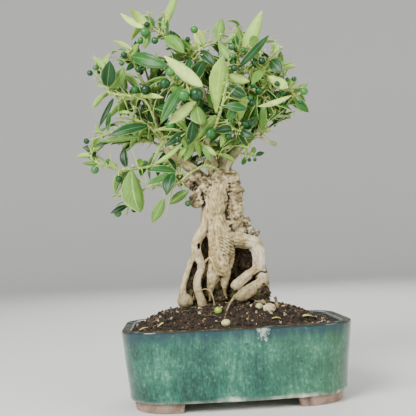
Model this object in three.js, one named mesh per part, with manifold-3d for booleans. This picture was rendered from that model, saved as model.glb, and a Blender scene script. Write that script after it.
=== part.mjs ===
// A citrus bonsai with small green fruits, in a glazed soft-rectangular pot.
// Millimetres, +Z up. The pot stands on z = 0 with its centre on the Z axis while the pieces are made.
import * as THREE from 'three';
import { mergeVertices } from 'three/addons/utils/BufferGeometryUtils.js';
import Module from 'manifold-3d';

const wasm = await Module();
wasm.setup();

// Driving dimensions
const RIM = { long: 210, deep: 141.6, corner: 35.5, z: 73.3 };
const FOOT_LINE = { long: 199.6, deep: 131, corner: 41, z: 8.5 };
const BOW = 2.9;
const LIP = 9.5;
const FLOOR_TOP = 17;
const FOOT = { run: 47, side: 40, inset: 3, width: 13, slant: 2.2 };
const DRAIN = { x: 46, radius: 8 };
const SCREEN = { side: 26, thick: 1, hole: 7, pitch: 10 };
const SOIL = { edge: 69.5, rise: 20, peakX: -6, reachX: 91, reachY: 61 };
const GAP = 0.3;
const CLEAR = 0.45;
const BLADE_THICK = 1.25;
const PETIOLE = 0.75;
const THORN_THICK = 0.9;
const FRUIT_SIDES = 5;
const NARROW = 6;
const LOOSE_SINK = 0.35;
const SHARED = 0.4;
const LEAF_PUSHES = [0, -4, 4, -8, 8, -12];
const FRUIT_PUSHES = [0, -3, 3, -6, 6, -9];
const THORN_PUSHES = [0, -4, 4];
const SWINGS = [0, 1.3, -1.3, 2.6, 3.7, 0.6];
const LATE_SWING = 4;
const LATE_REACH = 0.75;
const LEAF_REACH = { least: 25, spread: 14 };
const LEAF_SLIM = { least: 0.3, spread: 0.12 };
const LEAF_TURN = 2.4;
const TWIG_END = 0.96;
const FRUIT_STALK = 2.4;
const EYE = new THREE.Vector3(-54, -751, 147);

// A point given by where it is seen on the plane y = 0, pushed along the sight line to the depth y
function seen([x, z, y = 0]) {
  const reach = 1 - y / EYE.y;
  return new THREE.Vector3(x, 0, z).sub(EYE).multiplyScalar(reach).add(EYE);
}

function random(seed) {
  let state = seed;
  return () => {
    state = (state + 0x6d2b79f5) | 0;
    let word = Math.imul(state ^ (state >>> 15), 1 | state);
    word = (word + Math.imul(word ^ (word >>> 7), 61 | word)) ^ word;
    return ((word ^ (word >>> 14)) >>> 0) / 4294967296;
  };
}

// A closed solid from a geometry whose shared corners are merged
function solid(geometry) {
  const bare = new THREE.BufferGeometry();
  bare.setAttribute('position', geometry.getAttribute('position'));
  if (geometry.getIndex()) bare.setIndex(geometry.getIndex());
  const merged = mergeVertices(bare, 1e-4);
  const corners = merged.getIndex().array;
  const triVerts = [];
  for (let i = 0; i < corners.length; i += 3) {
    const [a, b, c] = [corners[i], corners[i + 1], corners[i + 2]];
    if (a !== b && b !== c && c !== a) triVerts.push(a, b, c);
  }
  return new wasm.Manifold(new wasm.Mesh({
    numProp: 3,
    vertProperties: new Float32Array(merged.getAttribute('position').array),
    triVerts: new Uint32Array(triVerts),
  }));
}

function join(bodies) {
  return bodies.reduce((whole, body) => whole.add(body));
}

function largest(body) {
  return body.decompose().sort((a, b) => b.volume() - a.volume())[0];
}

function ball(at, radii, around = 6, up = 4, grow = 0) {
  const shape = new THREE.SphereGeometry(1, around, up);
  shape.rotateX(Math.PI / 2);
  shape.scale(radii[0] + grow, radii[1] + grow, radii[2] + grow);
  shape.translate(at.x, at.y, at.z);
  return solid(shape);
}

function curveOf(points) {
  return new THREE.CatmullRomCurve3(points, false, 'catmullrom', 0.5);
}

function between(values, t) {
  const place = t * (values.length - 1);
  const low = Math.min(Math.floor(place), values.length - 2);
  return values[low] + (values[low + 1] - values[low]) * (place - low);
}

// A round stem along a curve, its radius read between the listed ones
function stem(points, radii, sides, rings, grow = 0) {
  const curve = curveOf(points);
  const shape = new THREE.CylinderGeometry(1, 1, 1, sides, rings);
  const place = shape.getAttribute('position');
  const frames = [];
  let side = new THREE.Vector3(0.3, 1, 0.2);
  for (let i = 0; i <= rings; i++) {
    const along = curve.getTangent(i / rings);
    side = side.clone().addScaledVector(along, -side.dot(along)).normalize();
    frames.push({ at: curve.getPoint(i / rings), side, across: along.clone().cross(side) });
  }
  for (let i = 0; i < place.count; i++) {
    const t = 0.5 - place.getY(i);
    const { at, side: u, across: v } = frames[Math.round(t * rings)];
    const radius = between(radii, t) + grow;
    const point = at.clone().addScaledVector(u, place.getX(i) * radius);
    point.addScaledVector(v, place.getZ(i) * radius);
    place.setXYZ(i, point.x, point.y, point.z);
  }
  return solid(shape);
}

// Pot and soil outline: a rectangle with round corners and slightly bowed long sides
function outline(long, deep, corner, bow) {
  const [a, b, c] = [long / 2, deep / 2, corner];
  const points = [];
  const longSteps = 5;
  const shortSteps = 2;
  const cornerSteps = 5;
  const arc = (x, y, start) => {
    for (let i = 0; i < cornerSteps; i++) {
      const turn = start + (i / cornerSteps) * Math.PI / 2;
      points.push([x + c * Math.cos(turn), y + c * Math.sin(turn)]);
    }
  };
  const side = (x0, y0, x1, y1, steps, lift) => {
    for (let i = 0; i < steps; i++) {
      const t = i / steps;
      const swell = lift * 4 * t * (1 - t);
      points.push([x0 + (x1 - x0) * t, y0 + (y1 - y0) * t + swell]);
    }
  };
  arc(a - c, b - c, 0);
  side(a - c, b, c - a, b, longSteps, bow);
  arc(c - a, b - c, Math.PI / 2);
  side(-a, b - c, -a, c - b, shortSteps, 0);
  arc(c - a, c - b, Math.PI);
  side(c - a, -b, a - c, -b, longSteps, -bow);
  arc(a - c, c - b, 1.5 * Math.PI);
  side(a, c - b, a, b - c, shortSteps, 0);
  return points;
}

// The wall's outline at height z, drawn in by some millimetres
function wall(z, inset) {
  const t = (z - FOOT_LINE.z) / (RIM.z - FOOT_LINE.z);
  const mix = (low, high) => low + (high - low) * t;
  const corner = Math.max(mix(FOOT_LINE.corner, RIM.corner) - inset, 6);
  const long = mix(FOOT_LINE.long, RIM.long) - 2 * inset;
  return outline(long, mix(FOOT_LINE.deep, RIM.deep) - 2 * inset, corner, BOW);
}

// A turned profile whose rings are pulled out to the pot's outline, closed at both ends on the axis
function potTurning(levels, height = (x, y, level) => level.z) {
  const around = outline(1, 1, 0.1, 0).length;
  const profile = levels.map((level, i) => new THREE.Vector2(i === 0 || i === levels.length - 1 ? 0 : 1, i));
  const shape = new THREE.LatheGeometry(profile, around);
  const place = shape.getAttribute('position');
  for (let i = 0; i < place.count; i++) {
    const level = levels[i % levels.length];
    const [x, y] = wall(level.wallAt ?? level.z, level.inset)[Math.floor(i / levels.length) % around];
    const spread = level.spread ?? 1;
    place.setXYZ(i, x * spread, y * spread, height(x * spread, y * spread, level));
  }
  return solid(shape);
}

function block(x, y, z, w, d, h) {
  const shape = new THREE.BoxGeometry(w, d, h);
  shape.translate(x, y, z);
  return solid(shape);
}

function upright(x, y, z, radius, height, sides) {
  const shape = new THREE.CylinderGeometry(radius, radius, height, sides);
  shape.rotateX(Math.PI / 2);
  shape.translate(x, y, z + height / 2);
  return solid(shape);
}

// One fired piece: wall, wide lip, floor with two drain holes and four corner feet
function makePot() {
  const shell = potTurning([
    { z: FOOT_LINE.z, inset: 0, spread: 0 },
    { z: FOOT_LINE.z, inset: 4 },
    { z: FOOT_LINE.z + 1.2, inset: 0.6 },
    { z: FOOT_LINE.z + 4, inset: -0.6 },
    { z: FOOT_LINE.z + 8, inset: 0.2 },
    { z: RIM.z - 1.2, inset: 0 },
    { z: RIM.z, inset: 1 },
    { z: RIM.z, inset: LIP - 1.2 },
    { z: RIM.z - 1.4, inset: LIP },
    { z: FLOOR_TOP + 6, inset: LIP },
    { z: FLOOR_TOP, inset: LIP + 6 },
    { z: FLOOR_TOP, inset: 0, spread: 0 },
  ]);
  const band = potTurning([
    { z: 0, wallAt: FOOT_LINE.z, inset: 0, spread: 0 },
    { z: 0, wallAt: FOOT_LINE.z, inset: FOOT.inset + FOOT.slant },
    { z: FOOT_LINE.z + 1, wallAt: FOOT_LINE.z, inset: FOOT.inset },
    { z: FOOT_LINE.z + 1, wallAt: FOOT_LINE.z, inset: 0, spread: 0 },
  ]);
  const core = potTurning([
    { z: -1, wallAt: FOOT_LINE.z, inset: 0, spread: 0 },
    { z: -1, wallAt: FOOT_LINE.z, inset: FOOT.inset + FOOT.width },
    { z: FOOT_LINE.z, wallAt: FOOT_LINE.z, inset: FOOT.inset + FOOT.width },
    { z: FOOT_LINE.z, wallAt: FOOT_LINE.z, inset: 0, spread: 0 },
  ]);
  const gapLong = FOOT_LINE.long / 2 - FOOT.inset - FOOT.run;
  const gapDeep = FOOT_LINE.deep / 2 - FOOT.inset - FOOT.side;
  const gate = (half, length, turn) => {
    const face = new THREE.Shape();
    face.moveTo(-half - FOOT.slant, -1);
    face.lineTo(half + FOOT.slant, -1);
    face.lineTo(half, FOOT_LINE.z);
    face.lineTo(-half, FOOT_LINE.z);
    const shape = new THREE.ExtrudeGeometry(face, { depth: length, bevelEnabled: false });
    shape.translate(0, 0, -length / 2);
    shape.rotateX(Math.PI / 2);
    shape.rotateZ(turn);
    return solid(shape);
  };
  const feet = band.subtract(core)
    .subtract(gate(gapLong, RIM.deep * 1.2, 0))
    .subtract(gate(gapDeep, RIM.long * 1.2, Math.PI / 2));
  const drains = [-DRAIN.x, DRAIN.x].map((x) => upright(x, 0, 0, DRAIN.radius, FLOOR_TOP + 5, 16));
  return shell.add(feet).subtract(join(drains));
}

function makeScreen(x) {
  const z = FLOOR_TOP + GAP + SCREEN.thick / 2;
  let plate = block(x, 0, z, SCREEN.side, SCREEN.side, SCREEN.thick);
  for (const i of [-0.5, 0.5]) {
    for (const j of [-0.5, 0.5]) {
      const hole = block(x + i * SCREEN.pitch, j * SCREEN.pitch, z, SCREEN.hole, SCREEN.hole, 3);
      plate = plate.subtract(hole);
    }
  }
  return plate;
}

function soilHeight(x, y) {
  const far = Math.min(Math.hypot((x - SOIL.peakX) / SOIL.reachX, y / SOIL.reachY), 1);
  const lumps = Math.sin(x * 0.31 + 1.3) * Math.cos(y * 0.37 + 0.4) + 0.7 * Math.sin(x * 0.13 - y * 0.21);
  return SOIL.edge + SOIL.rise * (1 - far ** 3) + 0.9 * lumps * (1 - 0.6 * far);
}

function makeSoil() {
  const inset = LIP + GAP;
  const bottom = FLOOR_TOP + GAP;
  const levels = [
    { z: bottom, inset: 0, spread: 0 },
    { z: bottom, inset: inset + 6.5 },
    { z: bottom + 6.5, inset },
    { z: SOIL.edge, inset, top: true },
  ];
  for (const spread of [0.88, 0.72, 0.56, 0.38, 0.19]) {
    levels.push({ z: SOIL.edge, inset, spread, top: true });
  }
  levels.push({ z: SOIL.edge, inset: 0, spread: 0, top: true });
  return potTurning(levels, (x, y, level) => (level.top ? soilHeight(x, y) : level.z));
}

// Trunk, exposed roots and limbs: strokes of wood with the radius at each point
const WOOD = {
  column: {
    way: [[-14, 158, 2], [-15.5, 170, 1], [-14.5, 178, 0], [-12.3, 188, 0], [-9, 200, 0], [-5, 210, 0],
      [-3, 216, 0], [-2, 220, 0]],
    thick: [12, 11.6, 11.8, 12.8, 13.2, 12, 9, 4.5], sides: 7,
  },
  core: {
    way: [[-14, 186, 2], [-11, 167, 6], [-10, 141, 9], [-11, 115, 12], [-13, 95, 14], [-14, 76, 14]],
    thick: [8, 11, 12, 11, 11, 10], sides: 6,
  },
  left_strand: {
    way: [[-20, 173, -2], [-24.5, 160, -4], [-30, 150, -5], [-32, 141, -5], [-28.8, 130, -5],
      [-31.3, 116, -7],
      [-33.5, 101, -9], [-30, 80, -10]],
    thick: [6, 5.6, 5.2, 5.4, 4.6, 4, 4.2, 4.4], sides: 6,
  },
  outer_root: {
    way: [[-32, 143, -3], [-38.5, 130, -3], [-43, 119, -3], [-46.5, 108, -4], [-47.5, 98, -6],
      [-46, 80, -6]],
    thick: [3, 2.8, 2.8, 3, 4, 4.5], sides: 5,
  },
  belly: {
    way: [[-15, 186, 0], [-12.5, 174, -1], [-9.5, 161, -4], [-8, 148, -7], [-8.2, 137, -9], [-9.5, 126, -9],
      [-11, 116, -9]],
    thick: [7, 10, 12, 13, 12.6, 11, 8], sides: 7,
  },
  burl_stack: {
    way: [[5, 213, -2], [6.4, 206, -2], [7.2, 201.5, -2], [7.6, 198, -2], [7.8, 193.5, -3], [7.6, 190, -3],
      [7.8, 186, -3], [7.6, 182.5, -3], [7.6, 178.5, -3], [7.2, 175, -3], [6.8, 170.5, -3], [6, 160, -3]],
    thick: [5, 8.2, 6.4, 7.8, 8, 6.4, 8.4, 6.6, 8.4, 6.8, 8.8, 8], sides: 7,
  },
  burl_web: { way: [[-3, 207, 4], [-2.4, 190, 4], [-2, 172, 4]], thick: [7, 6.4, 7], sides: 5 },
  left_lobe: { way: [[-14, 129, -9], [-18.5, 113, -10], [-20.5, 105, -10]], thick: [7, 7.4, 4], sides: 6 },
  right_lobe: { way: [[-5, 129, -9], [-6, 113, -9], [-7.3, 105.5, -9]], thick: [6.5, 5.4, 3], sides: 6 },
  right_arm: {
    way: [[-2, 159, 0], [11, 152, -3], [21, 149.5, -4], [26.5, 144, -4], [28.7, 122, -4], [29.7, 113, -4],
      [30, 104, -3], [30, 80, -2]],
    thick: [7, 6.8, 6.8, 7, 7.2, 7.6, 6.6, 5.6], sides: 7,
  },
  upper_toe: {
    way: [[22, 120, -6], [12, 113, -10], [4.5, 106, -14], [-0.5, 100, -16], [-2, 90, -17]],
    thick: [4.6, 4.6, 4.6, 4.4, 3.4], sides: 6,
  },
  lower_toe: {
    way: [[27, 112, -5], [18, 104, -10], [9, 97.5, -15], [3.5, 93, -17], [0, 82, -18]],
    thick: [5, 6, 6, 5.4, 5], sides: 6,
  },
  cross_root: {
    way: [[-25, 130, -13], [-19.5, 134, -21], [-16.5, 127, -22], [-12, 122, -21], [-7, 118.5, -18]],
    thick: [1.6, 1.3, 1.2, 1.2, 1.4], sides: 4,
  },
  trailing_root: {
    way: [[3, 96, -20], [-0.5, 91, -27], [-4, 84, -32]], thick: [1.6, 1.1, 1], sides: 4,
  },
  hanging_root: {
    way: [[-31, 103, -12], [-25, 104, -19], [-20, 100, -21], [-17.5, 88, -21]],
    thick: [1, 0.9, 0.9, 0.9], sides: 4,
  },
  back_root_left: {
    way: [[-16, 134, 13], [-30, 117, 24], [-41, 101, 32], [-47, 80, 36]],
    thick: [7.5, 6.4, 5.4, 4.5], sides: 5,
  },
  back_root_right: {
    way: [[0, 134, 12], [13, 117, 22], [23, 100, 30], [31, 79, 34]], thick: [7.5, 6.4, 5.4, 4.5], sides: 5,
  },
  back_root_middle: {
    way: [[-8, 124, 16], [-6, 106, 29], [-4, 92, 38], [-2, 76, 42]], thick: [8, 6.4, 5, 4], sides: 5,
  },
  broken_stub: { way: [[-26, 211, -3], [-37, 212, -5], [-48, 205, -7]], thick: [5.6, 4.6, 2.6], sides: 6 },
  right_limb: {
    way: [[-1, 206, 0], [1, 221, 0], [11, 236, -2], [23, 246, -3], [32, 252, -3], [38, 261, -2],
      [46, 268, 0],
      [66, 267, 2]],
    thick: [6, 5, 4.3, 3.8, 3.4, 2.6, 2.4, 1.8], sides: 5,
  },
  cut_twig: {
    way: [[31, 250, -3], [41, 244.5, -6], [46, 242, -7], [50, 240, -8]],
    thick: [1.5, 1.2, 1.9, 2.3], sides: 5,
  },
  left_limb: {
    way: [[-20, 206, 0], [-34, 221, 3], [-47, 231, 5], [-57, 242, 6], [-63, 256, 4], [-66, 271, 0]],
    thick: [7, 5.4, 4.8, 3.8, 2.8, 2], sides: 5,
  },
  middle_limb: {
    way: [[-10, 210, 3], [-14, 228, 6], [-18, 250, 8], [-15, 275, 6], [-20, 300, 4], [-30, 322, 2],
      [-39, 335, -1]],
    thick: [7, 5.4, 4, 3.2, 2.4, 1.9, 1.5], sides: 5,
  },
  inner_right_limb: {
    way: [[-18, 250, 8], [-2, 268, 13], [13, 292, 10], [16, 310, 6], [17, 322, 3]],
    thick: [3, 2.8, 2.3, 1.9, 1.5], sides: 5,
  },
  back_limb: {
    way: [[-9, 206, 6], [-5, 226, 22], [0, 244, 38], [4, 260, 50]], thick: [6, 4.2, 3, 2], sides: 5,
  },
  back_left_limb: {
    way: [[-34, 221, 3], [-45, 237, 23], [-57, 255, 40], [-65, 270, 47]],
    thick: [3.8, 3.2, 2.2, 1.6], sides: 5,
  },
  front_limb: {
    way: [[-13, 222, 5], [-16, 238, -13], [-19, 254, -29], [-25, 269, -38]],
    thick: [4, 3, 2.2, 1.6], sides: 5,
  },
  right_high_limb: {
    way: [[37, 259, -2], [42, 275, 2], [48, 290, 4], [56, 300, 3]], thick: [2.3, 2.1, 1.7, 1.4], sides: 5,
  },
};
// Burls, burrs and root knuckles: centre as seen, then half sizes
const BURLS = [
  { at: [4, 210, -1], half: [9, 9, 7.6] },
  { at: [-8, 211, -6], half: [7.4, 7, 7.4] },
  { at: [3.4, 166.5, -8], half: [9.6, 7.4, 2.8] },
  { at: [7, 158, -2], half: [10.6, 9, 9.4] },
  { at: [14.6, 196.5, -4], half: [3, 3, 3.2] },
  { at: [17.6, 167, -3], half: [4.8, 4.4, 5.2] },
  { at: [20, 158.5, -3], half: [5, 4.4, 4.8] },
  { at: [26, 156.5, -4], half: [4.4, 4, 4] },
  { at: [-22.5, 205, -3], half: [8, 8.6, 8.6] },
  { at: [-31, 214, -2], half: [7.2, 7, 5.8] },
  { at: [-27.5, 197, -2], half: [6.4, 7, 6] },
  { at: [-37, 208, -3], half: [5, 5, 5.4] },
  { at: [-29.4, 189.5, -3], half: [7.4, 6.4, 6.8] },
  { at: [-45.5, 94, -9], half: [8, 7.2, 6.8] },
  { at: [22, 96, -6], half: [7.4, 7, 6] },
  { at: [29, 99, -4], half: [6.4, 6.4, 5.4] },
  { at: [27, 88, -9], half: [7, 6.6, 6.4] },
];
// The ring-shaped burl low on the left, the hollow over it, the eye between two roots
const RING_BURL = { at: [-30.4, 189.6, -9], radius: 5, tube: 2.6 };
const HOLLOWS = [
  { at: [-31.5, 203.5, -10.5], half: [3.4, 5, 4.6] },
  { at: [-29.8, 145.5, -9], half: [1.5, 9, 3] },
];

function makeTrunk(grow, knotted = true) {
  const strokes = Object.values(WOOD).map(({ way, thick, sides }) => {
    const rings = way.length - 1;
    return stem(way.map(seen), thick, sides, rings, grow);
  });
  const burls = BURLS.map(({ at, half }) => ball(seen(at), half, 6, 4, grow));
  const ring = new THREE.TorusGeometry(RING_BURL.radius, RING_BURL.tube + grow, 5, 10);
  ring.rotateX(Math.PI / 2);
  ring.translate(...seen(RING_BURL.at).toArray());
  const whole = join([...strokes, ...burls, solid(ring)]);
  if (!knotted) return whole;
  return whole.subtract(join(HOLLOWS.map(({ at, half }) => ball(seen(at), half, 7, 5))));
}

// Leafy stems. Each has its twig, the leaves, fruits and thorns seen in front, and the rest by rule.
// A leaf runs from its base at to its tip; wide is its width, under shows the pale side to the viewer.
const STEMS = {
  top_left: {
    twig: [[-38, 333, -1], [-46, 341, -4], [-55, 352, -6], [-64, 358.5, -9], [-71, 361, -11]],
    thick: [1.6, 1],
    leaves: [
      { at: [-56, 356, -6], tip: [-37.5, 397, 4], wide: 8.5, under: true },
      { at: [-66, 360, -9], tip: [-86, 379.5, -16], wide: 9, under: true, arch: 0.24 },
      { at: [-73, 360, -10], tip: [-95, 374.5, -2], wide: 7, under: true },
      { at: [-53, 352, -6], tip: [-35, 334, -20], wide: 12.5 },
      { at: [-67, 358, -10], tip: [-74, 339, -22], wide: 6.5, under: true },
    ],
    fruits: [[-70, 363, -14, 2.8], [-72, 355.5, -15, 4.7], [-76.5, 347.5, -15, 3.2], [-63, 347, -14, 3.4]],
    thorns: [{ at: [-57, 356, -7], tip: [-60.5, 371, -8] }],
    more: 4, berries: 0, seed: 11,
  },
  left_high: {
    twig: [[-66, 268, 0], [-70, 288, 1], [-78, 310, -1], [-86, 327, -4], [-92, 337, -6]], thick: [1.7, 1],
    leaves: [
      { at: [-85, 339, -9], tip: [-104, 348.5, -14], wide: 4.5, under: true },
      { at: [-86, 332, -9], tip: [-51, 321, -28], wide: 13.5 },
      { at: [-84, 326, -5], tip: [-93, 318, -20], wide: 6 },
      { at: [-88, 331, -6], tip: [-79, 345, -12], wide: 6.5, under: true },
    ],
    fruits: [[-80, 319.5, -13, 3.4], [-93.5, 334, -12, 3.1], [-96, 326, -9, 2.6]],
    thorns: [{ at: [-89, 333, -5], tip: [-101, 330, -8] }],
    more: 5, berries: 1, seed: 29,
  },
  far_left_high: {
    twig: [[-64, 260, 3], [-68, 274, -8], [-76, 289, -13], [-94, 294.5, -13], [-108, 297, -12],
      [-113, 307, -10],
      [-112, 319, -9]], thick: [1.7, 1],
    leaves: [
      { at: [-112, 302, -12], tip: [-107.5, 329, -22], wide: 15 },
      { at: [-108, 302, -11], tip: [-93.5, 322, -20], wide: 11, under: true },
      { at: [-112, 321, -9], tip: [-124, 333.5, -7], wide: 6, under: true },
      { at: [-112, 300, -12], tip: [-126, 283, -17], wide: 5.5, under: true },
      { at: [-104, 294, -12], tip: [-120.5, 264, -14], wide: 5.5 },
    ],
    fruits: [[-127, 317.5, -12, 2.9], [-121.5, 322.5, -13, 2.6], [-74, 299, -20, 4.9],
      [-84, 299.5, -19, 3.8]],
    thorns: [{ at: [-114, 302, -11], tip: [-122, 305, -12] },
      { at: [-97, 294, -12], tip: [-90, 274, -14] }],
    more: 4, berries: 0, seed: 37,
  },
  left_middle: {
    twig: [[-60, 249, 5], [-70, 261, -4], [-82, 269, -8], [-94, 266, -10], [-104, 261, -11],
      [-114, 256.5, -12]],
    thick: [1.6, 0.9],
    leaves: [
      { at: [-74, 264, -16], tip: [-112, 256, -24], wide: 10 },
      { at: [-82, 254, -16], tip: [-122.5, 250.5, -22], wide: 5, under: true },
      { at: [-100, 253, -11], tip: [-127, 245.5, -16], wide: 5 },
      { at: [-117, 256, -12], tip: [-124, 268, -10], wide: 4.5, under: true },
      { at: [-113, 258, -11], tip: [-109, 279, -6], wide: 5 },
    ],
    fruits: [[-133, 251.5, -13, 2.8], [-51, 263.5, -22, 5.2]],
    thorns: [{ at: [-112, 258, -12], tip: [-128, 262, -12] }, { at: [-72, 262, -8], tip: [-74, 250, -16] }],
    more: 4, berries: 0, seed: 41,
  },
  far_left_low: {
    twig: [[-43, 228, 4], [-54, 223.5, -5], [-70, 224.5, -10], [-86, 223, -13], [-103, 222.5, -14],
      [-117, 227.5, -14], [-128.5, 234, -13], [-128, 242, -12]], thick: [1.7, 0.9],
    leaves: [
      { at: [-94, 223, -14], tip: [-98, 244, -12], wide: 8.5 },
      { at: [-129, 236.5, -12], tip: [-143, 237, -9], wide: 5, under: true },
      { at: [-120, 229, -14], tip: [-138, 230, -13], wide: 5, under: true },
      { at: [-91, 222, -15], tip: [-86.3, 178.5, -30], wide: 21, under: true, arch: 0.1 },
      { at: [-86, 223, -13], tip: [-81, 232, -4], wide: 7 },
      { at: [-104, 222, -14], tip: [-112, 231.5, -24], wide: 5, under: true },
    ],
    fruits: [[-126.2, 223.5, -15, 3.9], [-103.6, 213.5, -17, 3.3], [-113, 231, -14, 2.4]],
    thorns: [{ at: [-109.5, 225, -14], tip: [-110.5, 244, -12] },
      { at: [-83.5, 224, -13], tip: [-91.5, 246, -16] },
      { at: [-128, 240, -12], tip: [-131, 249, -12] }],
    more: 4, berries: 0, seed: 53,
  },
  low_left: {
    twig: [[-5, 213, -6], [-9, 219, -13], [-20, 223, -15], [-34, 217, -18], [-46, 208, -19],
      [-60, 204.5, -19],
      [-76, 205, -17], [-90, 193, -12], [-98, 186, -12]], thick: [1.6, 0.9],
    leaves: [
      { at: [-51, 217, -22], tip: [-58.8, 197, -32], wide: 12 },
      { at: [-54, 216, -20], tip: [-77, 207.5, -26], wide: 6.5 },
      { at: [-37, 199.5, -20], tip: [-57, 187, -26], wide: 9, under: true },
      { at: [-61, 193, -22], tip: [-73.8, 170, -26], wide: 10, under: true, arch: 0.22 },
      { at: [-97, 188, -13], tip: [-113, 181, -17], wide: 6 },
    ],
    fruits: [[-106, 180.5, -16, 3.5], [-38.5, 187, -12, 3], [-90.5, 183, -14, 2.4]],
    thorns: [{ at: [-50, 205, -19], tip: [-62.5, 168, -20] },
      { at: [-21, 223, -16], tip: [-18, 231, -20] }],
    more: 3, berries: 1, seed: 67,
  },
  front_left: {
    twig: [[-24, 266, -36], [-27, 278, -40], [-31, 292, -40], [-35, 306, -40], [-40, 315, -38]],
    thick: [1.5, 1],
    leaves: [
      { at: [-34, 307, -42], tip: [-61, 265, -50], wide: 10 },
      { at: [-19, 300, -42], tip: [-54.5, 331.5, -34], wide: 11.5, under: true },
      { at: [-26, 286, -42], tip: [-53, 265, -48], wide: 10.5, under: true },
      { at: [-25, 281, -42], tip: [-22, 263, -54], wide: 14, under: true },
      { at: [-31, 296, -42], tip: [-16, 326, -26], wide: 12 },
    ],
    fruits: [[-25.2, 292.6, -50, 6.6], [-37.5, 292, -48, 5.2], [-49, 315.5, -42, 4.3],
      [-55, 304.5, -40, 4.8],
      [-43, 309, -42, 2.4]],
    thorns: [],
    more: 3, berries: 0, seed: 71,
  },
  front_middle: {
    twig: [[-17, 246, -22], [-8, 262, -32], [-1, 280, -36], [4, 298, -36], [6, 314, -33], [8, 326, -28]],
    thick: [1.6, 1],
    leaves: [
      { at: [-7, 274, -38], tip: [1.5, 329, -40], wide: 17.5, under: true },
      { at: [8, 327, -28], tip: [-1, 343, -22], wide: 9, under: true },
      { at: [4, 300, -36], tip: [24, 289, -44], wide: 12 },
      { at: [-1, 281, -37], tip: [24, 276, -40], wide: 9 },
      { at: [6, 312, -33], tip: [27, 303, -28], wide: 10, under: true },
    ],
    fruits: [[13, 317, -34, 3.4], [27, 287, -34, 2.8], [28.5, 282, -34, 3.1], [11.5, 329, -30, 3]],
    thorns: [{ at: [-1, 283, -36], tip: [14, 299, -42] }],
    more: 3, berries: 0, seed: 83,
  },
  top_middle: {
    twig: [[-29, 320, 2], [-27, 331, -4], [-15, 339.5, -7], [-4, 342.5, -8], [5, 341, -8]], thick: [1.5, 1],
    leaves: [
      { at: [-3, 342, -8], tip: [3.5, 366, -5], wide: 12, under: true },
      { at: [-14, 339, -8], tip: [-22.5, 358, -3], wide: 11.5, under: true },
      { at: [5, 341, -8], tip: [19.7, 355, -10], wide: 4.5, under: true },
      { at: [-20, 335, -7], tip: [-5, 320, -22], wide: 10 },
      { at: [-24, 334, -6], tip: [-39, 348, -10], wide: 5, under: true },
    ],
    fruits: [[-24, 356.5, -13, 3.8], [11.5, 338, -14, 3.3], [-31, 347, -9, 2.6]],
    thorns: [{ at: [-10, 341, -8], tip: [-8, 354, -12] }],
    more: 4, berries: 0, seed: 97,
  },
  right_top: {
    twig: [[16.5, 316, 4], [17, 326, -2], [21, 333, -6], [30, 338, -6]], thick: [1.4, 0.9],
    leaves: [
      { at: [17, 330, -4], tip: [43, 373, 0], wide: 14, under: true },
      { at: [17, 317, -16], tip: [49, 348.5, -20], wide: 8 },
      { at: [28, 337, -6], tip: [37.5, 348, 6], wide: 9 },
      { at: [19, 331, -5], tip: [13, 351, 10], wide: 8 },
    ],
    fruits: [[22.5, 334.5, -14, 2.9], [33, 321, -16, 3]],
    thorns: [{ at: [24, 335, -6], tip: [30, 343, -16] }],
    more: 4, berries: 1, seed: 101,
  },
  right_upper: {
    twig: [[49, 291, 4], [45, 302, -2], [42, 314, -6], [47, 323, -8], [54, 329, -8]], thick: [1.4, 0.9],
    leaves: [
      { at: [51, 328, -8], tip: [59.5, 338, -6], wide: 4.5, under: true },
      { at: [47, 325, -9], tip: [60, 311, -20], wide: 13 },
      { at: [42, 309, -6], tip: [65, 295, -24], wide: 11, under: true },
      { at: [44, 318, -7], tip: [70, 320, -4], wide: 5, under: true },
      { at: [43, 312, -5], tip: [74, 317, 4], wide: 6.5, under: true },
      { at: [42, 315, -6], tip: [29, 300, -18], wide: 8.5 },
    ],
    fruits: [[40.5, 323, -17, 3.6], [36, 293.5, -16, 3.9], [54, 300, -12, 2.6]],
    thorns: [{ at: [43, 316, -6], tip: [33, 322, -12] }],
    more: 3, berries: 0, seed: 113,
  },
  far_right: {
    twig: [[55, 299, 3], [61, 295, 0], [67, 291, -3], [72, 286, -5]], thick: [1.3, 0.9],
    leaves: [
      { at: [67, 292, -3], tip: [85, 299, -1], wide: 6, under: true },
      { at: [68, 288, -5], tip: [33, 277.5, -16], wide: 5.5, under: true },
      { at: [70, 287, -4], tip: [83.5, 270.5, -2], wide: 8.5 },
      { at: [60, 295, 0], tip: [72, 304.5, 16], wide: 7 },
    ],
    fruits: [[80, 291.5, -6, 3.9], [64.5, 303.5, -4, 2.3], [71, 304, -5, 2.5], [76, 281, -6, 2.2]],
    thorns: [{ at: [66, 292, -3], tip: [78, 306, -4] }],
    more: 4, berries: 1, seed: 127,
  },
  right_low: {
    twig: [[11, 235, -3], [17, 233, -7], [24, 231.5, -9], [30, 229, -9]], thick: [1, 0.7],
    leaves: [
      { at: [25, 231, -9], tip: [29, 239, -16], wide: 5, under: true },
      { at: [28, 230, -9], tip: [38, 233, -8], wide: 4.5 },
      { at: [20, 232, -8], tip: [16, 222, 2], wide: 5 },
    ],
    fruits: [[23, 226.5, -10, 1.9], [28.5, 226.5, -11, 1.8]],
    thorns: [],
    more: 0, berries: 0, seed: 131,
  },
  middle_low: {
    twig: [[-16, 238, -14], [-22, 244, -24], [-30, 250, -30], [-36, 258, -34]], thick: [1.5, 0.9],
    leaves: [
      { at: [-31, 246, -30], tip: [-7, 272, -48], wide: 8, under: true, arch: 0.2 },
      { at: [-35, 244, -32], tip: [-29.5, 268, -40], wide: 9.5 },
      { at: [-22, 244, -24], tip: [-9, 232, -36], wide: 5, under: true },
      { at: [-36, 258, -34], tip: [-58, 243, -40], wide: 8 },
      { at: [-30, 250, -30], tip: [-40, 228, -30], wide: 7.5, under: true },
    ],
    fruits: [[-13.5, 254, -40, 4.8], [-45, 250, -40, 3.6]],
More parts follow.
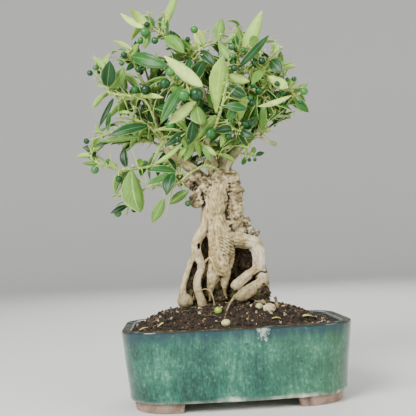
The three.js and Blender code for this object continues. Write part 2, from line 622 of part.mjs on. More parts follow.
    thorns: [{ at: [-20, 243, -22], tip: [-10, 235, -28] }],
    more: 3, berries: 1, seed: 139,
  },
  middle_right_low: {
    twig: [[23, 246, -3], [18, 254, -16], [8, 258, -26], [2, 266, -30]], thick: [1.4, 0.9],
    leaves: [
      { at: [14, 256, -20], tip: [29, 248, -30], wide: 8, under: true },
      { at: [10, 257, -24], tip: [-9, 256, -34], wide: 8.5 },
      { at: [2, 265, -30], tip: [16, 282, -36], wide: 8 },
      { at: [17, 254, -17], tip: [34, 268, -24], wide: 8.5 },
      { at: [5, 261, -28], tip: [-4, 240, -32], wide: 7, under: true },
    ],
    fruits: [[21, 262, -26, 3.6], [4, 250, -32, 3.2]],
    thorns: [{ at: [16, 255, -18], tip: [24, 240, -22] }],
    more: 3, berries: 1, seed: 149,
  },
  inner_left: {
    twig: [[-19, 296, 4], [-30, 302, -6], [-44, 304, -12], [-57, 300, -15]], thick: [1.5, 0.9],
    leaves: [], fruits: [], thorns: [{ at: [-44, 304, -12], tip: [-50, 316, -18] }],
    more: 6, berries: 1, seed: 151,
  },
  inner_right: {
    twig: [[14, 294, 10], [26, 296, 0], [38, 288, -6], [48, 278, -8]], thick: [1.4, 0.9],
    leaves: [], fruits: [], thorns: [{ at: [36, 289, -6], tip: [32, 302, -12] }],
    more: 6, berries: 1, seed: 157,
  },
  back_low_right: {
    twig: [[0, 243, 37], [10, 250, 42], [24, 256, 42], [38, 264, 38]], thick: [1.5, 0.9],
    leaves: [], fruits: [], thorns: [], more: 6, berries: 1, seed: 163,
  },
  back_middle: {
    twig: [[3.5, 258, 49], [6, 274, 56], [2, 291, 56], [-4, 304, 50]], thick: [1.5, 0.9],
    leaves: [], fruits: [], thorns: [], more: 7, berries: 1, seed: 167,
  },
  back_low_left: {
    twig: [[-44, 236, 22], [-52, 241, 34], [-58, 240, 46], [-70, 236, 50]], thick: [1.5, 0.9],
    leaves: [], fruits: [], thorns: [], more: 7, berries: 1, seed: 173,
  },
  back_left: {
    twig: [[-64, 268, 46], [-74, 280, 50], [-88, 288, 46], [-102, 288, 38]], thick: [1.5, 0.9],
    leaves: [], fruits: [], thorns: [], more: 7, berries: 1, seed: 179,
  },
  back_left_high: {
    twig: [[-64.5, 264, 2], [-66, 282, 15], [-70, 304, 24], [-75, 326, 27]], thick: [1.6, 0.9],
    leaves: [], fruits: [], thorns: [], more: 7, berries: 1, seed: 181,
  },
  back_top: {
    twig: [[-21, 303, 4], [-20, 318, 18], [-26, 334, 24], [-36, 348, 22]], thick: [1.5, 0.9],
    leaves: [], fruits: [], thorns: [], more: 6, berries: 1, seed: 191,
  },
  back_right_high: {
    twig: [[15.5, 305, 7], [22, 318, 20], [22, 332, 26], [14, 342, 26]], thick: [1.4, 0.9],
    leaves: [], fruits: [], thorns: [], more: 6, berries: 1, seed: 193,
  },
  back_right: {
    twig: [[47, 288, 4], [48, 293, 18], [54, 300, 32], [52, 310, 38]], thick: [1.4, 0.9],
    leaves: [], fruits: [], thorns: [], more: 6, berries: 1, seed: 197,
  },
  back_inner: {
    twig: [[-15, 275, 6], [-16, 284, 22], [-24, 294, 36], [-32, 306, 42]], thick: [1.5, 0.9],
    leaves: [], fruits: [], thorns: [], more: 7, berries: 1, seed: 199,
  },
  left_back_low: {
    twig: [[-55, 240, 6], [-68, 247, 18], [-87, 251, 26], [-103, 247, 28]], thick: [1.5, 0.9],
    leaves: [], fruits: [], thorns: [], more: 6, berries: 1, seed: 211,
  },
};

// Outline of the crown and its gaps, as seen, which the leaves placed by rule keep to
const CROWN = [
  [-60, 380], [-96, 378], [-82, 352], [-106, 350], [-126, 336], [-131, 314], [-119, 298], [-129, 280],
  [-110, 278], [-124, 262], [-138, 252], [-144, 236], [-128, 218], [-108, 212], [-115, 180], [-84, 176],
  [-60, 180], [-46, 192], [-36, 204], [-20, 216], [0, 220], [14, 226], [30, 232], [38, 250], [52, 258],
  [70, 262], [86, 268], [76, 282], [86, 298], [72, 306], [76, 320], [62, 328], [58, 342], [44, 366],
  [22, 358], [6, 368], [-8, 356], [-24, 362], [-38, 352], [-40, 384],
];
const WINDOWS = [
  { at: [-110, 237], half: [9, 9] }, { at: [-74, 240], half: [12, 8] }, { at: [-77, 215], half: [9, 4.5] },
  { at: [-87, 314], half: [10, 4] }, { at: [-70, 314], half: [5, 6] }, { at: [-61, 340], half: [6, 4] },
  { at: [-108, 287], half: [6, 4] }, { at: [-106, 268], half: [8, 4] }, { at: [-66, 186], half: [22, 8] },
];

function insideCrown(point) {
  const reach = EYE.y / (EYE.y - point.y);
  const [x, z] = [EYE.x + (point.x - EYE.x) * reach, EYE.z + (point.z - EYE.z) * reach];
  let inside = false;
  CROWN.forEach(([x0, z0], i) => {
    const [x1, z1] = CROWN[(i + 1) % CROWN.length];
    if ((z0 > z) !== (z1 > z) && x < x0 + (x1 - x0) * (z - z0) / (z1 - z0)) inside = !inside;
  });
  const inWindow = ({ at, half }) => Math.hypot((x - at[0]) / half[0], (z - at[1]) / half[1]) < 1;
  return inside && !WINDOWS.some(inWindow);
}

// Where along a blade its half width stands to the full one, from the stalk to the tip
const BLADE_OUTLINE = { short: [[0.3, 0.94], [0.7, 0.8]], long: [[0.14, 0.5], [0.42, 1], [0.74, 0.72]] };

// A folded, arched blade whose stalk starts as a point in the twig; both faces have like triangles
function blade({ stalk, base, tip, wide, facing, arch, fold, detail }, grow = 0) {
  const along = tip.clone().sub(base);
  const length = along.length();
  along.normalize();
  const up = facing.clone().addScaledVector(along, -facing.dot(along)).normalize();
  const side = along.clone().cross(up);
  const points = [stalk ?? base];
  const ring = (at, half, thick, lift) => {
    const edge = half + grow;
    const deep = thick / 2 + grow;
    points.push(at.clone().addScaledVector(side, -edge).addScaledVector(up, lift));
    points.push(at.clone().addScaledVector(up, deep));
    points.push(at.clone().addScaledVector(side, edge).addScaledVector(up, lift));
    points.push(at.clone().addScaledVector(up, -deep));
  };
  if (stalk) ring(base, PETIOLE, 2 * PETIOLE, 0);
  for (const [u, w] of BLADE_OUTLINE[detail].slice(stalk ? 1 : 0)) {
    const rise = arch * length * 4 * u * (1 - u);
    const at = base.clone().addScaledVector(along, u * length).addScaledVector(up, rise);
    ring(at, w * wide / 2, BLADE_THICK, fold * w * wide / 2);
  }
  points.push(tip.clone().addScaledVector(along, grow));
  const end = points.length - 1;
  const last = end - 4;
  const faces = [];
  for (let k = 0; k < 4; k++) faces.push(0, 1 + (k + 1) % 4, 1 + k, last + k, last + (k + 1) % 4, end);
  for (let a = 1; a < last; a += 4) {
    const b = a + 4;
    faces.push(a, b + 1, b, a, a + 1, b + 1);
    faces.push(a + 1, b + 2, b + 1, a + 1, a + 2, b + 2);
    faces.push(a + 2, a + 3, b + 3, a + 2, b + 3, b + 2);
    faces.push(a + 3, b, b + 3, a + 3, a, b);
  }
  const shape = new THREE.BufferGeometry();
  shape.setAttribute('position', new THREE.Float32BufferAttribute(points.flatMap((p) => p.toArray()), 3));
  shape.setIndex(faces);
  return solid(shape);
}

// The nearest point of a twig's middle line, short of its cut end
function nearestOn(curve, point) {
  const steps = 40;
  let best = curve.getPoint(0.1);
  for (let i = 4; i <= steps; i++) {
    const at = curve.getPoint(TWIG_END * i / steps);
    if (at.distanceTo(point) < best.distanceTo(point)) best = at;
  }
  return best;
}

// What grows from one twig: each item gives its tries, the first of which that is clear is kept
function growths(spec) {
  const draw = random(spec.seed);
  const curve = curveOf(spec.twig.map(seen));
  const items = [];
  for (const { at, tip, wide, under, arch = 0.1 } of spec.leaves) {
    const roll = (draw() - 0.5) * 0.9;
    const fold = 0.12 + 0.25 * draw();
    items.push(LEAF_PUSHES.map((push) => {
      const base = seen([at[0], at[1], at[2] + push / 2]);
      const end = seen([tip[0], tip[1], tip[2] + push]);
      const stalk = nearestOn(curve, base);
      const along = end.clone().sub(base).normalize();
      const facing = EYE.clone().sub(base).normalize().multiplyScalar(under ? -1 : 1);
      facing.applyAxisAngle(along, roll);
      const joined = stalk.distanceTo(base) > 3;
      return {
        kind: 'leaf', stalk: joined ? stalk : null, base: joined ? base : stalk, tip: end,
        wide: wide / Math.cos(roll), facing, arch, fold, detail: wide > NARROW ? 'long' : 'short',
      };
    }));
  }
  for (const [x, z, y, radius] of spec.fruits) {
    items.push(FRUIT_PUSHES.map((push) => {
      const at = seen([x, z, y + push]);
      return { kind: 'fruit', at, radius, stalk: nearestOn(curve, at) };
    }));
  }
  for (const { at, tip } of spec.thorns) {
    items.push(THORN_PUSHES.map((push) => ({
      kind: 'thorn', at: nearestOn(curve, seen(at)), tip: seen([tip[0], tip[1], tip[2] + push]),
    })));
  }
  const total = spec.more + spec.berries;
  for (let i = 0; i < total; i++) {
    const t = Math.min(0.3 + 0.7 * (i + 0.6 * draw()) / Math.max(spec.more, 1), TWIG_END);
    const turn = i * LEAF_TURN + draw();
    const pitch = 0.6 + 0.6 * draw();
    const length = LEAF_REACH.least + LEAF_REACH.spread * draw();
    const slim = LEAF_SLIM.least + LEAF_SLIM.spread * draw();
    const droop = 0.25 * draw();
    const tilt = (draw() - 0.5) * 1.4;
    const fold = 0.1 + 0.25 * draw();
    const spot = i < spec.more ? t : 0.35 + 2.4 * droop;
    const at = curve.getPoint(spot);
    const along = curve.getTangent(spot);
    const side = new THREE.Vector3(0, 0, 1).cross(along).normalize();
    const top = along.clone().cross(side);
    items.push(SWINGS.map((swing, k) => {
      const spin = turn + swing;
      const away = side.clone().multiplyScalar(Math.cos(spin)).addScaledVector(top, Math.sin(spin));
      if (i >= spec.more) {
        const radius = 2.8 + 8 * slim * droop;
        const middle = at.clone().addScaledVector(away, radius + FRUIT_STALK);
        return { kind: 'fruit', at: middle, radius, stalk: at };
      }
      const reach = length * (k < LATE_SWING ? 1 : LATE_REACH);
      const aim = along.clone().multiplyScalar(Math.cos(pitch)).addScaledVector(away, Math.sin(pitch));
      aim.z -= droop;
      aim.normalize();
      const facing = new THREE.Vector3(0, 0, 1).addScaledVector(away, 0.3).applyAxisAngle(aim, tilt);
      return {
        kind: 'leaf', stalk: null, base: at, tip: at.clone().addScaledVector(aim, reach),
        wide: reach * slim, facing, arch: 0.08 + 0.3 * droop, fold, detail: 'short', rule: true,
      };
    }));
  }
  return items;
}

// A turned body set along a line: profile pairs are the radius and the way from the start
function turned(start, end, profile, sides) {
  const shape = new THREE.LatheGeometry(profile.map(([r, h]) => new THREE.Vector2(r, h)), sides);
  const along = end.clone().sub(start).normalize();
  shape.applyQuaternion(new THREE.Quaternion().setFromUnitVectors(new THREE.Vector3(0, 1, 0), along));
  shape.translate(start.x, start.y, start.z);
  return solid(shape);
}

function grown(item, grow) {
  if (item.kind === 'leaf') return blade(item, grow);
  if (item.kind === 'fruit') {
    const reach = item.stalk.distanceTo(item.at);
    const r = item.radius + grow;
    const neck = Math.max(reach - 0.96 * r, 0.3 * reach);
    const belly = 0.88 * r;
    const [low, high] = [reach - r / 2, reach + r / 2];
    const round = [[0, 0], [PETIOLE + grow, neck], [belly, low], [belly, high], [0, reach + r]];
    return turned(item.stalk, item.at, round, FRUIT_SIDES);
  }
  const reach = item.at.distanceTo(item.tip);
  return turned(item.at, item.tip, [[0, 0], [THORN_THICK + grow, 1], [0, reach + grow]], 3);
}

const trunk = makeTrunk(0);
const trunkRoom = makeTrunk(GAP, false);

const placed = [];
const apart = (a, b) => a.max[0] < b.min[0] || b.max[0] < a.min[0] || a.max[1] < b.min[1]
  || b.max[1] < a.min[1] || a.max[2] < b.min[2] || b.max[2] < a.min[2];

function isClear(item, node) {
  const body = grown(item, 0);
  const room = grown(item, CLEAR);
  const box = room.boundingBox();
  for (const other of placed) {
    if (apart(box, other.box)) continue;
    if (other.node !== node && !room.intersect(other.body).isEmpty()) return false;
    const sibling = other.node === node && other.kind !== 'twig';
    if (sibling && body.intersect(other.body).volume() > SHARED) return false;
  }
  return true;
}

function place(node, kind, body) {
  placed.push({ node, kind, body, box: body.boundingBox() });
}

place('trunk', 'wood', trunk);
const twigs = {};
for (const [node, spec] of Object.entries(STEMS)) {
  const rings = spec.twig.length - 1;
  const twig = largest(stem(spec.twig.map(seen), spec.thick, 4, rings).subtract(trunkRoom));
  twigs[node] = twig;
  place(node, 'twig', twig);
}

const stems = {};
for (const [node, spec] of Object.entries(STEMS)) stems[node] = { items: growths(spec), kept: [twigs[node]] };

for (const stage of [false, true]) {
  for (const [node, { items, kept }] of Object.entries(stems)) {
    for (const tries of items) {
      if (Boolean(tries[0].rule) !== stage) continue;
      const good = tries.find((item) => {
        const within = (u) => insideCrown(item.base.clone().lerp(item.tip, u));
        return (!item.rule || [0.4, 0.7, 1].every(within)) && isClear(item, node);
      });
      if (!good) continue;
      const body = grown(good, 0);
      place(node, good.kind, body);
      kept.push(body);
    }
  }
}

// Loose things on the soil: where they lie, and their half sizes
const LOOSE = {
  fallen_fruit: { at: [-17.6, -38.4], half: [4.1, 4.1, 3.9], colour: '#a9c84a', around: 8 },
  fallen_fruit_half: { at: [-11, -55], half: [4, 3.4, 3.2], colour: '#d9d8a0', around: 8 },
  shell_pebble: { at: [31, -33], half: [6, 5, 4.6], colour: '#d8cfae', around: 8 },
  green_pebble: { at: [22, -30.5], half: [3.4, 3.2, 3], colour: '#b9c07c', around: 7 },
};

function makeLoose({ at: [x, y], half, around }, grow) {
  const z = soilHeight(x, y) + half[2] * (1 - LOOSE_SINK);
  return ball(new THREE.Vector3(x, y, z), half, around, 5, grow);
}

const FALLEN_LEAF = { at: [60, -33], tip: [75, -21], wide: 7 };
const TWIG_STUB = { at: [40, -21], lean: [38.5, -20], high: 9, radius: 1.4 };

function groundPoint([x, y], lift) {
  return new THREE.Vector3(x, y, soilHeight(x, y) + lift);
}

function makeFallenLeaf(grow) {
  return blade({
    stalk: null, base: groundPoint(FALLEN_LEAF.at, 1.2), tip: groundPoint(FALLEN_LEAF.tip, 1.6),
    wide: FALLEN_LEAF.wide, facing: new THREE.Vector3(0.1, -0.1, 1), arch: 0.05, fold: 0.2, detail: 'long',
  }, grow);
}

function makeTwigStub(grow) {
  const { at, lean, high, radius } = TWIG_STUB;
  const way = [groundPoint(at, -6), groundPoint(at, 1), groundPoint(lean, high)];
  return stem(way, [radius, radius], 6, 3, grow);
}

const screens = { left: makeScreen(-DRAIN.x), right: makeScreen(DRAIN.x) };
const rooms = [trunkRoom, makeFallenLeaf(GAP), makeTwigStub(GAP)];
for (const thing of Object.values(LOOSE)) rooms.push(makeLoose(thing, GAP));
for (const x of [-DRAIN.x, DRAIN.x]) {
  const side = SCREEN.side + 2 * GAP;
  rooms.push(block(x, 0, FLOOR_TOP, side, side, 2 * (2 * GAP + SCREEN.thick)));
}

function mesh(name, body, colour, roughness) {
  const { vertProperties, triVerts } = body.getMesh();
  const shape = new THREE.BufferGeometry();
  shape.setAttribute('position', new THREE.BufferAttribute(new Float32Array(vertProperties), 3));
  shape.setIndex([...triVerts]);
  shape.computeVertexNormals();
  const material = new THREE.MeshStandardMaterial({ color: colour, roughness, metalness: 0 });
  const part = new THREE.Mesh(shape, material);
  part.name = name;
  return part;
}

const soil = rooms.reduce((rest, room) => rest.subtract(room), makeSoil());
const bonsai = new THREE.Group();
bonsai.add(mesh('pot', makePot(), '#4f7f78', 0.25));
bonsai.add(mesh('drain_screen_left', screens.left, '#2b2d2b', 0.6));
bonsai.add(mesh('drain_screen_right', screens.right, '#2b2d2b', 0.6));
bonsai.add(mesh('soil', largest(soil), '#3a2c22', 0.95));
bonsai.add(mesh('trunk', largest(trunk), '#b7a583', 0.8));
for (const [name, { kept }] of Object.entries(stems)) {
  bonsai.add(mesh(`leafy_stem_${name}`, largest(join(kept)), '#7fa04e', 0.5));
}
for (const [name, thing] of Object.entries(LOOSE)) {
  bonsai.add(mesh(name, makeLoose(thing, 0), thing.colour, 0.5));
}
bonsai.add(mesh('fallen_leaf', makeFallenLeaf(0), '#c9b944', 0.6));
bonsai.add(mesh('twig_stub', makeTwigStub(0), '#6b5138', 0.85));

const box = new THREE.Box3().setFromObject(bonsai);
const middle = box.getCenter(new THREE.Vector3());
bonsai.position.set(-middle.x, -middle.y, -box.min.z);

export default bonsai;
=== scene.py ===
"""A citrus bonsai with small green fruits, in a glazed soft-rectangular pot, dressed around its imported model.

Sizes of the tree and the pot are millimetres, measured from the ground under the middle of the pot.
"""

import math
import random

import bmesh
import bpy
import numpy as np
from mathutils import Matrix, Quaternion, Vector, kdtree, noise


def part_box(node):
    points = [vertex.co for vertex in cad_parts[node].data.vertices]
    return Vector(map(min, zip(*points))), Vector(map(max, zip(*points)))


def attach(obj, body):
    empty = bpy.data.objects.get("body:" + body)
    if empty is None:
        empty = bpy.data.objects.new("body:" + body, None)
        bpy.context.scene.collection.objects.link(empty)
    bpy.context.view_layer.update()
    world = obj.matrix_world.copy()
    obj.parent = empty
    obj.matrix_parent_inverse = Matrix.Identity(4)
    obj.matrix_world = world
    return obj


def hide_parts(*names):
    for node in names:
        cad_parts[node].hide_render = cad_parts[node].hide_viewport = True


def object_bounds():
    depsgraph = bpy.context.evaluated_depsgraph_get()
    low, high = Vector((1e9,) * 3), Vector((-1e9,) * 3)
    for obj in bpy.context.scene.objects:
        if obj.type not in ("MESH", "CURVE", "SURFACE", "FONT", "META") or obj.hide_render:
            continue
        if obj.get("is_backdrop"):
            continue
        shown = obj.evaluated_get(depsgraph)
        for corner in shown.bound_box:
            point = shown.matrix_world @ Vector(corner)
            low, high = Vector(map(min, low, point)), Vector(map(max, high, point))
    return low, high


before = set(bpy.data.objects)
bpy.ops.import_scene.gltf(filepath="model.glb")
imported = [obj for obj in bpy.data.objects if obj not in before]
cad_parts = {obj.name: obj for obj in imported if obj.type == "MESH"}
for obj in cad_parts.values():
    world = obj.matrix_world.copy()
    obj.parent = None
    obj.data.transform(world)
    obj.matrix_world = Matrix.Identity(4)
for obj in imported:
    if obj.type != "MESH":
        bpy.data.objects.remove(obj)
cad_low, cad_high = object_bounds()
scene = bpy.context.scene

# The view of the photograph: a long lens at the height of the trunk, a little to the left of the middle,
# turned, tilted and rolled slightly. Its frame is 416 pixels wide and high.
MM = 0.001
pot_low, pot_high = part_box("pot")
MIDDLE = Vector(((pot_low.x + pot_high.x) / 2, (pot_low.y + pot_high.y) / 2, pot_low.z))
FRAME_PIXELS = 416
FOCAL_PIXELS = 780
SENSOR = 36
CAMERA = {"at": (-53.8, -750.8, 146.7), "heading": -2.63, "rise": 2.67, "roll": -2.81}


def spot(x, y, z):
    return MIDDLE + Vector((x, y, z)) * MM


lens = bpy.data.cameras.new("camera")
lens.sensor_width = SENSOR
lens.lens = SENSOR * FOCAL_PIXELS / FRAME_PIXELS
camera = bpy.data.objects.new("camera", lens)
camera.matrix_world = (
    Matrix.Translation(spot(*CAMERA["at"]))
    @ Matrix.Rotation(math.radians(CAMERA["heading"]), 4, "Z")
    @ Matrix.Rotation(math.radians(90 + CAMERA["rise"]), 4, "X")
    @ Matrix.Rotation(math.radians(CAMERA["roll"]), 4, "Z")
)
scene.collection.objects.link(camera)
scene.camera = camera


# The studio: a pale matt floor that curves up into a round wall, a pale room, and three softboxes. The
# largest is in front on the left, a weaker one on the right lifts the shadows, one behind edges the leaves.
def linear(code):
    channels = [int(code[i : i + 2], 16) / 255 for i in (1, 3, 5)]
    return (*(c / 12.92 if c <= 0.04045 else ((c + 0.055) / 1.055) ** 2.4 for c in channels), 1)


def add(tree, kind, inputs=None, stops=(), out=0, **settings):
    """A node with its settings and links. Gives one of its outputs, or the node itself where out is None."""
    made = tree.nodes.new("ShaderNode" + kind)
    for name, value in settings.items():
        setattr(made, name, value)
    for name, value in (inputs or {}).items():
        if isinstance(value, bpy.types.NodeSocket):
            tree.links.new(value, made.inputs[name])
        else:
            made.inputs[name].default_value = linear(value) if isinstance(value, str) else value
    for i, (place, colour) in enumerate(stops):
        if i > 1:
            made.color_ramp.elements.new(1)
        made.color_ramp.elements[i].position = place
        made.color_ramp.elements[i].color = linear(colour)
    return made if out is None else made.outputs[out]


def new_material(name, **surface):
    material = bpy.data.materials.new(name)
    material.use_nodes = True
    tree = material.node_tree
    tree.nodes.clear()
    sockets = {key.replace("_", " "): value for key, value in surface.items()}
    shader = add(tree, "BsdfPrincipled", sockets, out=None)
    add(tree, "OutputMaterial", {"Surface": shader.outputs[0]}, out=None)
    return material, tree, shader


def linked(name, bm, *materials):
    """An object in the scene whose mesh is the bmesh."""
    mesh = bpy.data.meshes.new(name)
    bm.to_mesh(mesh)
    bm.free()
    for material in materials:
        mesh.materials.append(material)
    made = bpy.data.objects.new(name, mesh)
    scene.collection.objects.link(made)
    return made


FLAT_RADIUS = 2.3
SWEEP_RADIUS = 1.0
SWEEP_STEPS = 12
WALL_TOP = 2.4
SOFTBOXES = [
    {"name": "key", "at": (-0.8, -1.1, 1.0), "side": 0.8, "watts": 42},
    {"name": "fill", "at": (1.1, -0.95, 0.6), "side": 0.9, "watts": 10},
    {"name": "edge", "at": (0.3, 1.25, 1.15), "side": 1.0, "watts": 13},
]
LIT_HEIGHT = 0.2
ROOM = {"colour": "#dfe2e6", "strength": 0.6}

bm = bmesh.new()
sweep = [bm.verts.new((0, 0, 0)), bm.verts.new((FLAT_RADIUS, 0, 0))]
for i in range(1, SWEEP_STEPS + 1):
    turn = i / SWEEP_STEPS * math.pi / 2
    out, up = SWEEP_RADIUS * math.sin(turn), SWEEP_RADIUS * (1 - math.cos(turn))
    sweep.append(bm.verts.new((FLAT_RADIUS + out, 0, up)))
sweep.append(bm.verts.new((FLAT_RADIUS + SWEEP_RADIUS, 0, WALL_TOP)))
line = [bm.edges.new(pair) for pair in zip(sweep, sweep[1:])]
bmesh.ops.spin(
    bm, geom=sweep + line, cent=(0, 0, 0), axis=(0, 0, 1), angle=2 * math.pi, steps=64, use_merge=True,
)
bmesh.ops.remove_doubles(bm, verts=bm.verts[:], dist=0.0001)
floor_paint, tree, shader = new_material("pale_matt_floor", Base_Color="#e6e5e1", Roughness=0.9)
floor = linked("floor", bm, floor_paint)
floor.data.shade_smooth()
floor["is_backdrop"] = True

room = bpy.data.worlds.new("room")
room.use_nodes = True
background = room.node_tree.nodes["Background"].inputs
background["Color"].default_value = linear(ROOM["colour"])
background["Strength"].default_value = ROOM["strength"]
scene.world = room
for box in SOFTBOXES:
    lamp = bpy.data.lights.new(box["name"], "AREA")
    lamp.size = box["side"]
    lamp.energy = box["watts"]
    holder = bpy.data.objects.new(box["name"], lamp)
    holder.location = box["at"]
    holder.rotation_euler = (Vector((0, 0, LIT_HEIGHT)) - holder.location).to_track_quat("-Z", "Y").to_euler()
    scene.collection.objects.link(holder)


# The pot: one piece of stoneware, pressed in a mould, with bowed long sides, a wide flat lip and two drain
# holes. A running copper-green glaze covers it inside and out, pools darker under the lip, breaks to brown
# along the rim and ends in a rolled pale edge above four bare corner feet.
RIM = {"long": 210, "deep": 141.6, "corner": 35.5, "z": 73.3}
FOOT_LINE = {"long": 199.6, "deep": 131, "corner": 41, "z": 8.5}
BOW = 2.9
LIP = 9.5
LIP_TOP = 72.6
INNER_CORNER = 6
FLOOR_TOP = 17
DRAIN = {"x": 46, "radius": 8, "cut": 40}
PLAN_STEPS = {"corner": 14, "long": 34, "short": 16}
# Waves to the metre in the hand-pressed wall, and their height in millimetres
HAND_MADE = ((28, 0.35), (90, 0.12))
# Height, inset and the swelling of the glaze, from the underside up the outside, over the lip and down inside
POT_LEVELS = [
    (8.5, 6, 0), (8.5, 3.4, 0), (8.9, 2, 0), (9.3, 0.9, 0),
    (9.9, 0.3, 0.1), (10.6, 0.3, 0.4), (11.5, 0.3, 0.55), (12.5, 0.3, 0.5),
    (13.6, 0.1, 0.3), (14.8, 0.1, 0.12), (16.5, 0.1, 0.03),
    *((18.5 + 2.5 * i, 0, 0) for i in range(21)),
    (70.6, 0, 0), (71.6, 0.12, 0), (72.4, 0.5, 0), (72.9, 1.1, 0), (73.1, 2, 0), (73.15, 3.5, 0),
    (73.0, 6, 0), (72.8, 8, 0), (72.3, 9, 0), (71.2, LIP, 0), (68, LIP, 0), (60, LIP, 0),
    (24, LIP, 0), (19, LIP + 2, 0), (FLOOR_TOP, LIP + 6, 0),
]


def plan(long, deep, corner):
    a, b = long / 2 - corner, deep / 2 - corner
    points = []
    for quarter, (sx, sy) in enumerate([(1, 1), (-1, 1), (-1, -1), (1, -1)]):
        for i in range(PLAN_STEPS["corner"]):
            turn = (quarter + i / PLAN_STEPS["corner"]) * math.pi / 2
            points.append((sx * a + corner * math.cos(turn), sy * b + corner * math.sin(turn)))
        steps = PLAN_STEPS["short" if quarter % 2 else "long"]
        for i in range(steps):
            t = i / steps
            along = (sx * a * (1 - 2 * t), sy * (b + corner + 4 * BOW * t * (1 - t)))
            across = (sx * (a + corner), sy * b * (1 - 2 * t))
            points.append(across if quarter % 2 else along)
    return points


def wall(z, inset):
    t = (z - FOOT_LINE["z"]) / (RIM["z"] - FOOT_LINE["z"])
    long, deep, corner = (FOOT_LINE[k] + (RIM[k] - FOOT_LINE[k]) * t for k in ("long", "deep", "corner"))
    return plan(long - 2 * inset, deep - 2 * inset, max(corner - inset, INNER_CORNER))


def risen(levels, place):
    """A closed skin whose ring of points is extruded from level to level and set by place(level)."""
    bm = bmesh.new()
    bmesh.ops.create_circle(bm, segments=len(wall(0, 0)), radius=1)
    station = bm.verts.layers.int.new("station")
    for i, v in enumerate(bm.verts):
        v[station] = i
    ring = bm.edges[:]
    bmesh.ops.contextual_create(bm, geom=ring)
    corners = bm.verts[:]
    for i, level in enumerate(levels):
        if i:
            grown = bmesh.ops.extrude_edge_only(bm, edges=ring)["geom"]
            corners = [g for g in grown if isinstance(g, bmesh.types.BMVert)]
            fresh = set(corners)
            ring = [g for g in grown if isinstance(g, bmesh.types.BMEdge) and fresh.issuperset(g.verts)]
        points = place(level)
        for v in corners:
            v.co = points[v[station]]
    bmesh.ops.contextual_create(bm, geom=ring)
    bmesh.ops.recalc_face_normals(bm, faces=bm.faces[:])
    return bm


def piece(name, bm, *materials):
    """An object of the part from a bmesh, riding on the part's one body."""
    made = linked(name, bm, *materials)
    made.data.shade_smooth()
    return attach(made, "root")


def applied(obj):
    """The object's mesh with its modifiers applied, and the object without them."""
    mesh = bpy.data.meshes.new_from_object(obj.evaluated_get(bpy.context.evaluated_depsgraph_get()))
    obj.modifiers.clear()
    obj.data = mesh
    return obj


def glaze_ring(level):
    """The glazed wall at one level, uneven by hand, and swollen where the glaze stopped running."""
    level_z, inset, roll = level
    points = []
    for x, y in wall(level_z, inset):
        here = spot(x, y, level_z)
        uneven = sum(noise.noise(here * pitch) * height for pitch, height in HAND_MADE)
        z = level_z
        if roll:
            run = noise.noise(Vector((x, y, 0)) * 0.045) + 0.5 * noise.noise(Vector((x, y, 5)) * 0.16)
            uneven += roll * (0.9 + 0.8 * run)
            z += 1.1 * run * (1 if z < 13 else 0.4)
        reach = 1 + uneven / math.hypot(x, y)
        points.append(spot(x * reach, y * reach, z))
    return points


def finish(tree, shader, body, height=None, relief=None):
    """A material's colour, and its relief: the bump's strength and its depth in metres."""
    tree.links.new(body, shader.inputs["Base Color"])
    if relief:
        strength, depth = relief
        bump = add(tree, "Bump", {"Height": height, "Strength": strength, "Distance": depth})
        tree.links.new(bump, shader.inputs["Normal"])


def mottled(name, grain, stops, relief=None, **surface):
    """A material whose tone, and relief if it has one, follow one noise pattern."""
    material, tree, shader = new_material(name, **surface)
    where = add(tree, "TexCoord", out="Object")
    tone = add(tree, "TexNoise", {"Vector": where, **grain})
    finish(tree, shader, add(tree, "ValToRGB", {"Fac": tone}, stops=stops), tone, relief)
    return material


glaze, tree, shader = new_material("copper_green_glaze", Roughness=0.14, IOR=1.5, Coat_Weight=0.2)
shader.inputs["Coat Roughness"].default_value = 0.06
where = add(tree, "TexCoord", out="Object")
stretched = add(tree, "Mapping", {"Vector": where, "Scale": (1, 1, 0.13)})
drawn = add(tree, "Mapping", {"Vector": where, "Scale": (1, 1, 0.6)})
# Runs 2.5 mm wide, grains of 2 mm drawn down by the melt, clouds of 20 mm, and drips 9 mm wide under the lip
runs = add(tree, "TexNoise", {"Vector": stretched, "Scale": 400, "Detail": 4, "Roughness": 0.6})
grains = add(tree, "TexNoise", {"Vector": drawn, "Scale": 480, "Detail": 4, "Roughness": 0.7})
clouds = add(tree, "TexNoise", {"Vector": where, "Scale": 46, "Detail": 4})
drips = add(tree, "TexNoise", {"Vector": stretched, "Scale": 110, "Detail": 4})
patches = add(tree, "TexNoise", {"Vector": where, "Scale": 17, "Detail": 3})
blend = add(tree, "Math", {0: grains, 1: 0.3}, operation="MULTIPLY")
for pattern, share in ((runs, 0.17), (clouds, 0.31), (patches, 0.22)):
    blend = add(tree, "Math", {0: pattern, 1: share, 2: blend}, operation="MULTIPLY_ADD")
body = add(
    tree, "ValToRGB", {"Fac": blend},
    stops=[(0.4, "#05322a"), (0.46, "#134a3d"), (0.51, "#235d4b"), (0.56, "#35725c"), (0.64, "#6a9c80")],
)
axes = add(tree, "SeparateXYZ", {"Vector": where}, out=None)
from_middle, height = axes.outputs["X"], axes.outputs["Z"]
ends = add(tree, "MapRange", {"Value": from_middle, "From Min": 0.03, "From Max": 0.125, "To Max": 0.36})
# The darker glaze that gathered under the rim hangs down in drips
hang = add(tree, "Math", {0: drips, 1: 0.034, 2: height}, operation="MULTIPLY_ADD")
hang = add(tree, "Math", {0: grains, 1: 0.012, 2: hang}, operation="MULTIPLY_ADD")
band = add(tree, "MapRange", {"Value": hang, "From Min": 0.083, "From Max": 0.0935, "To Max": 0.9})
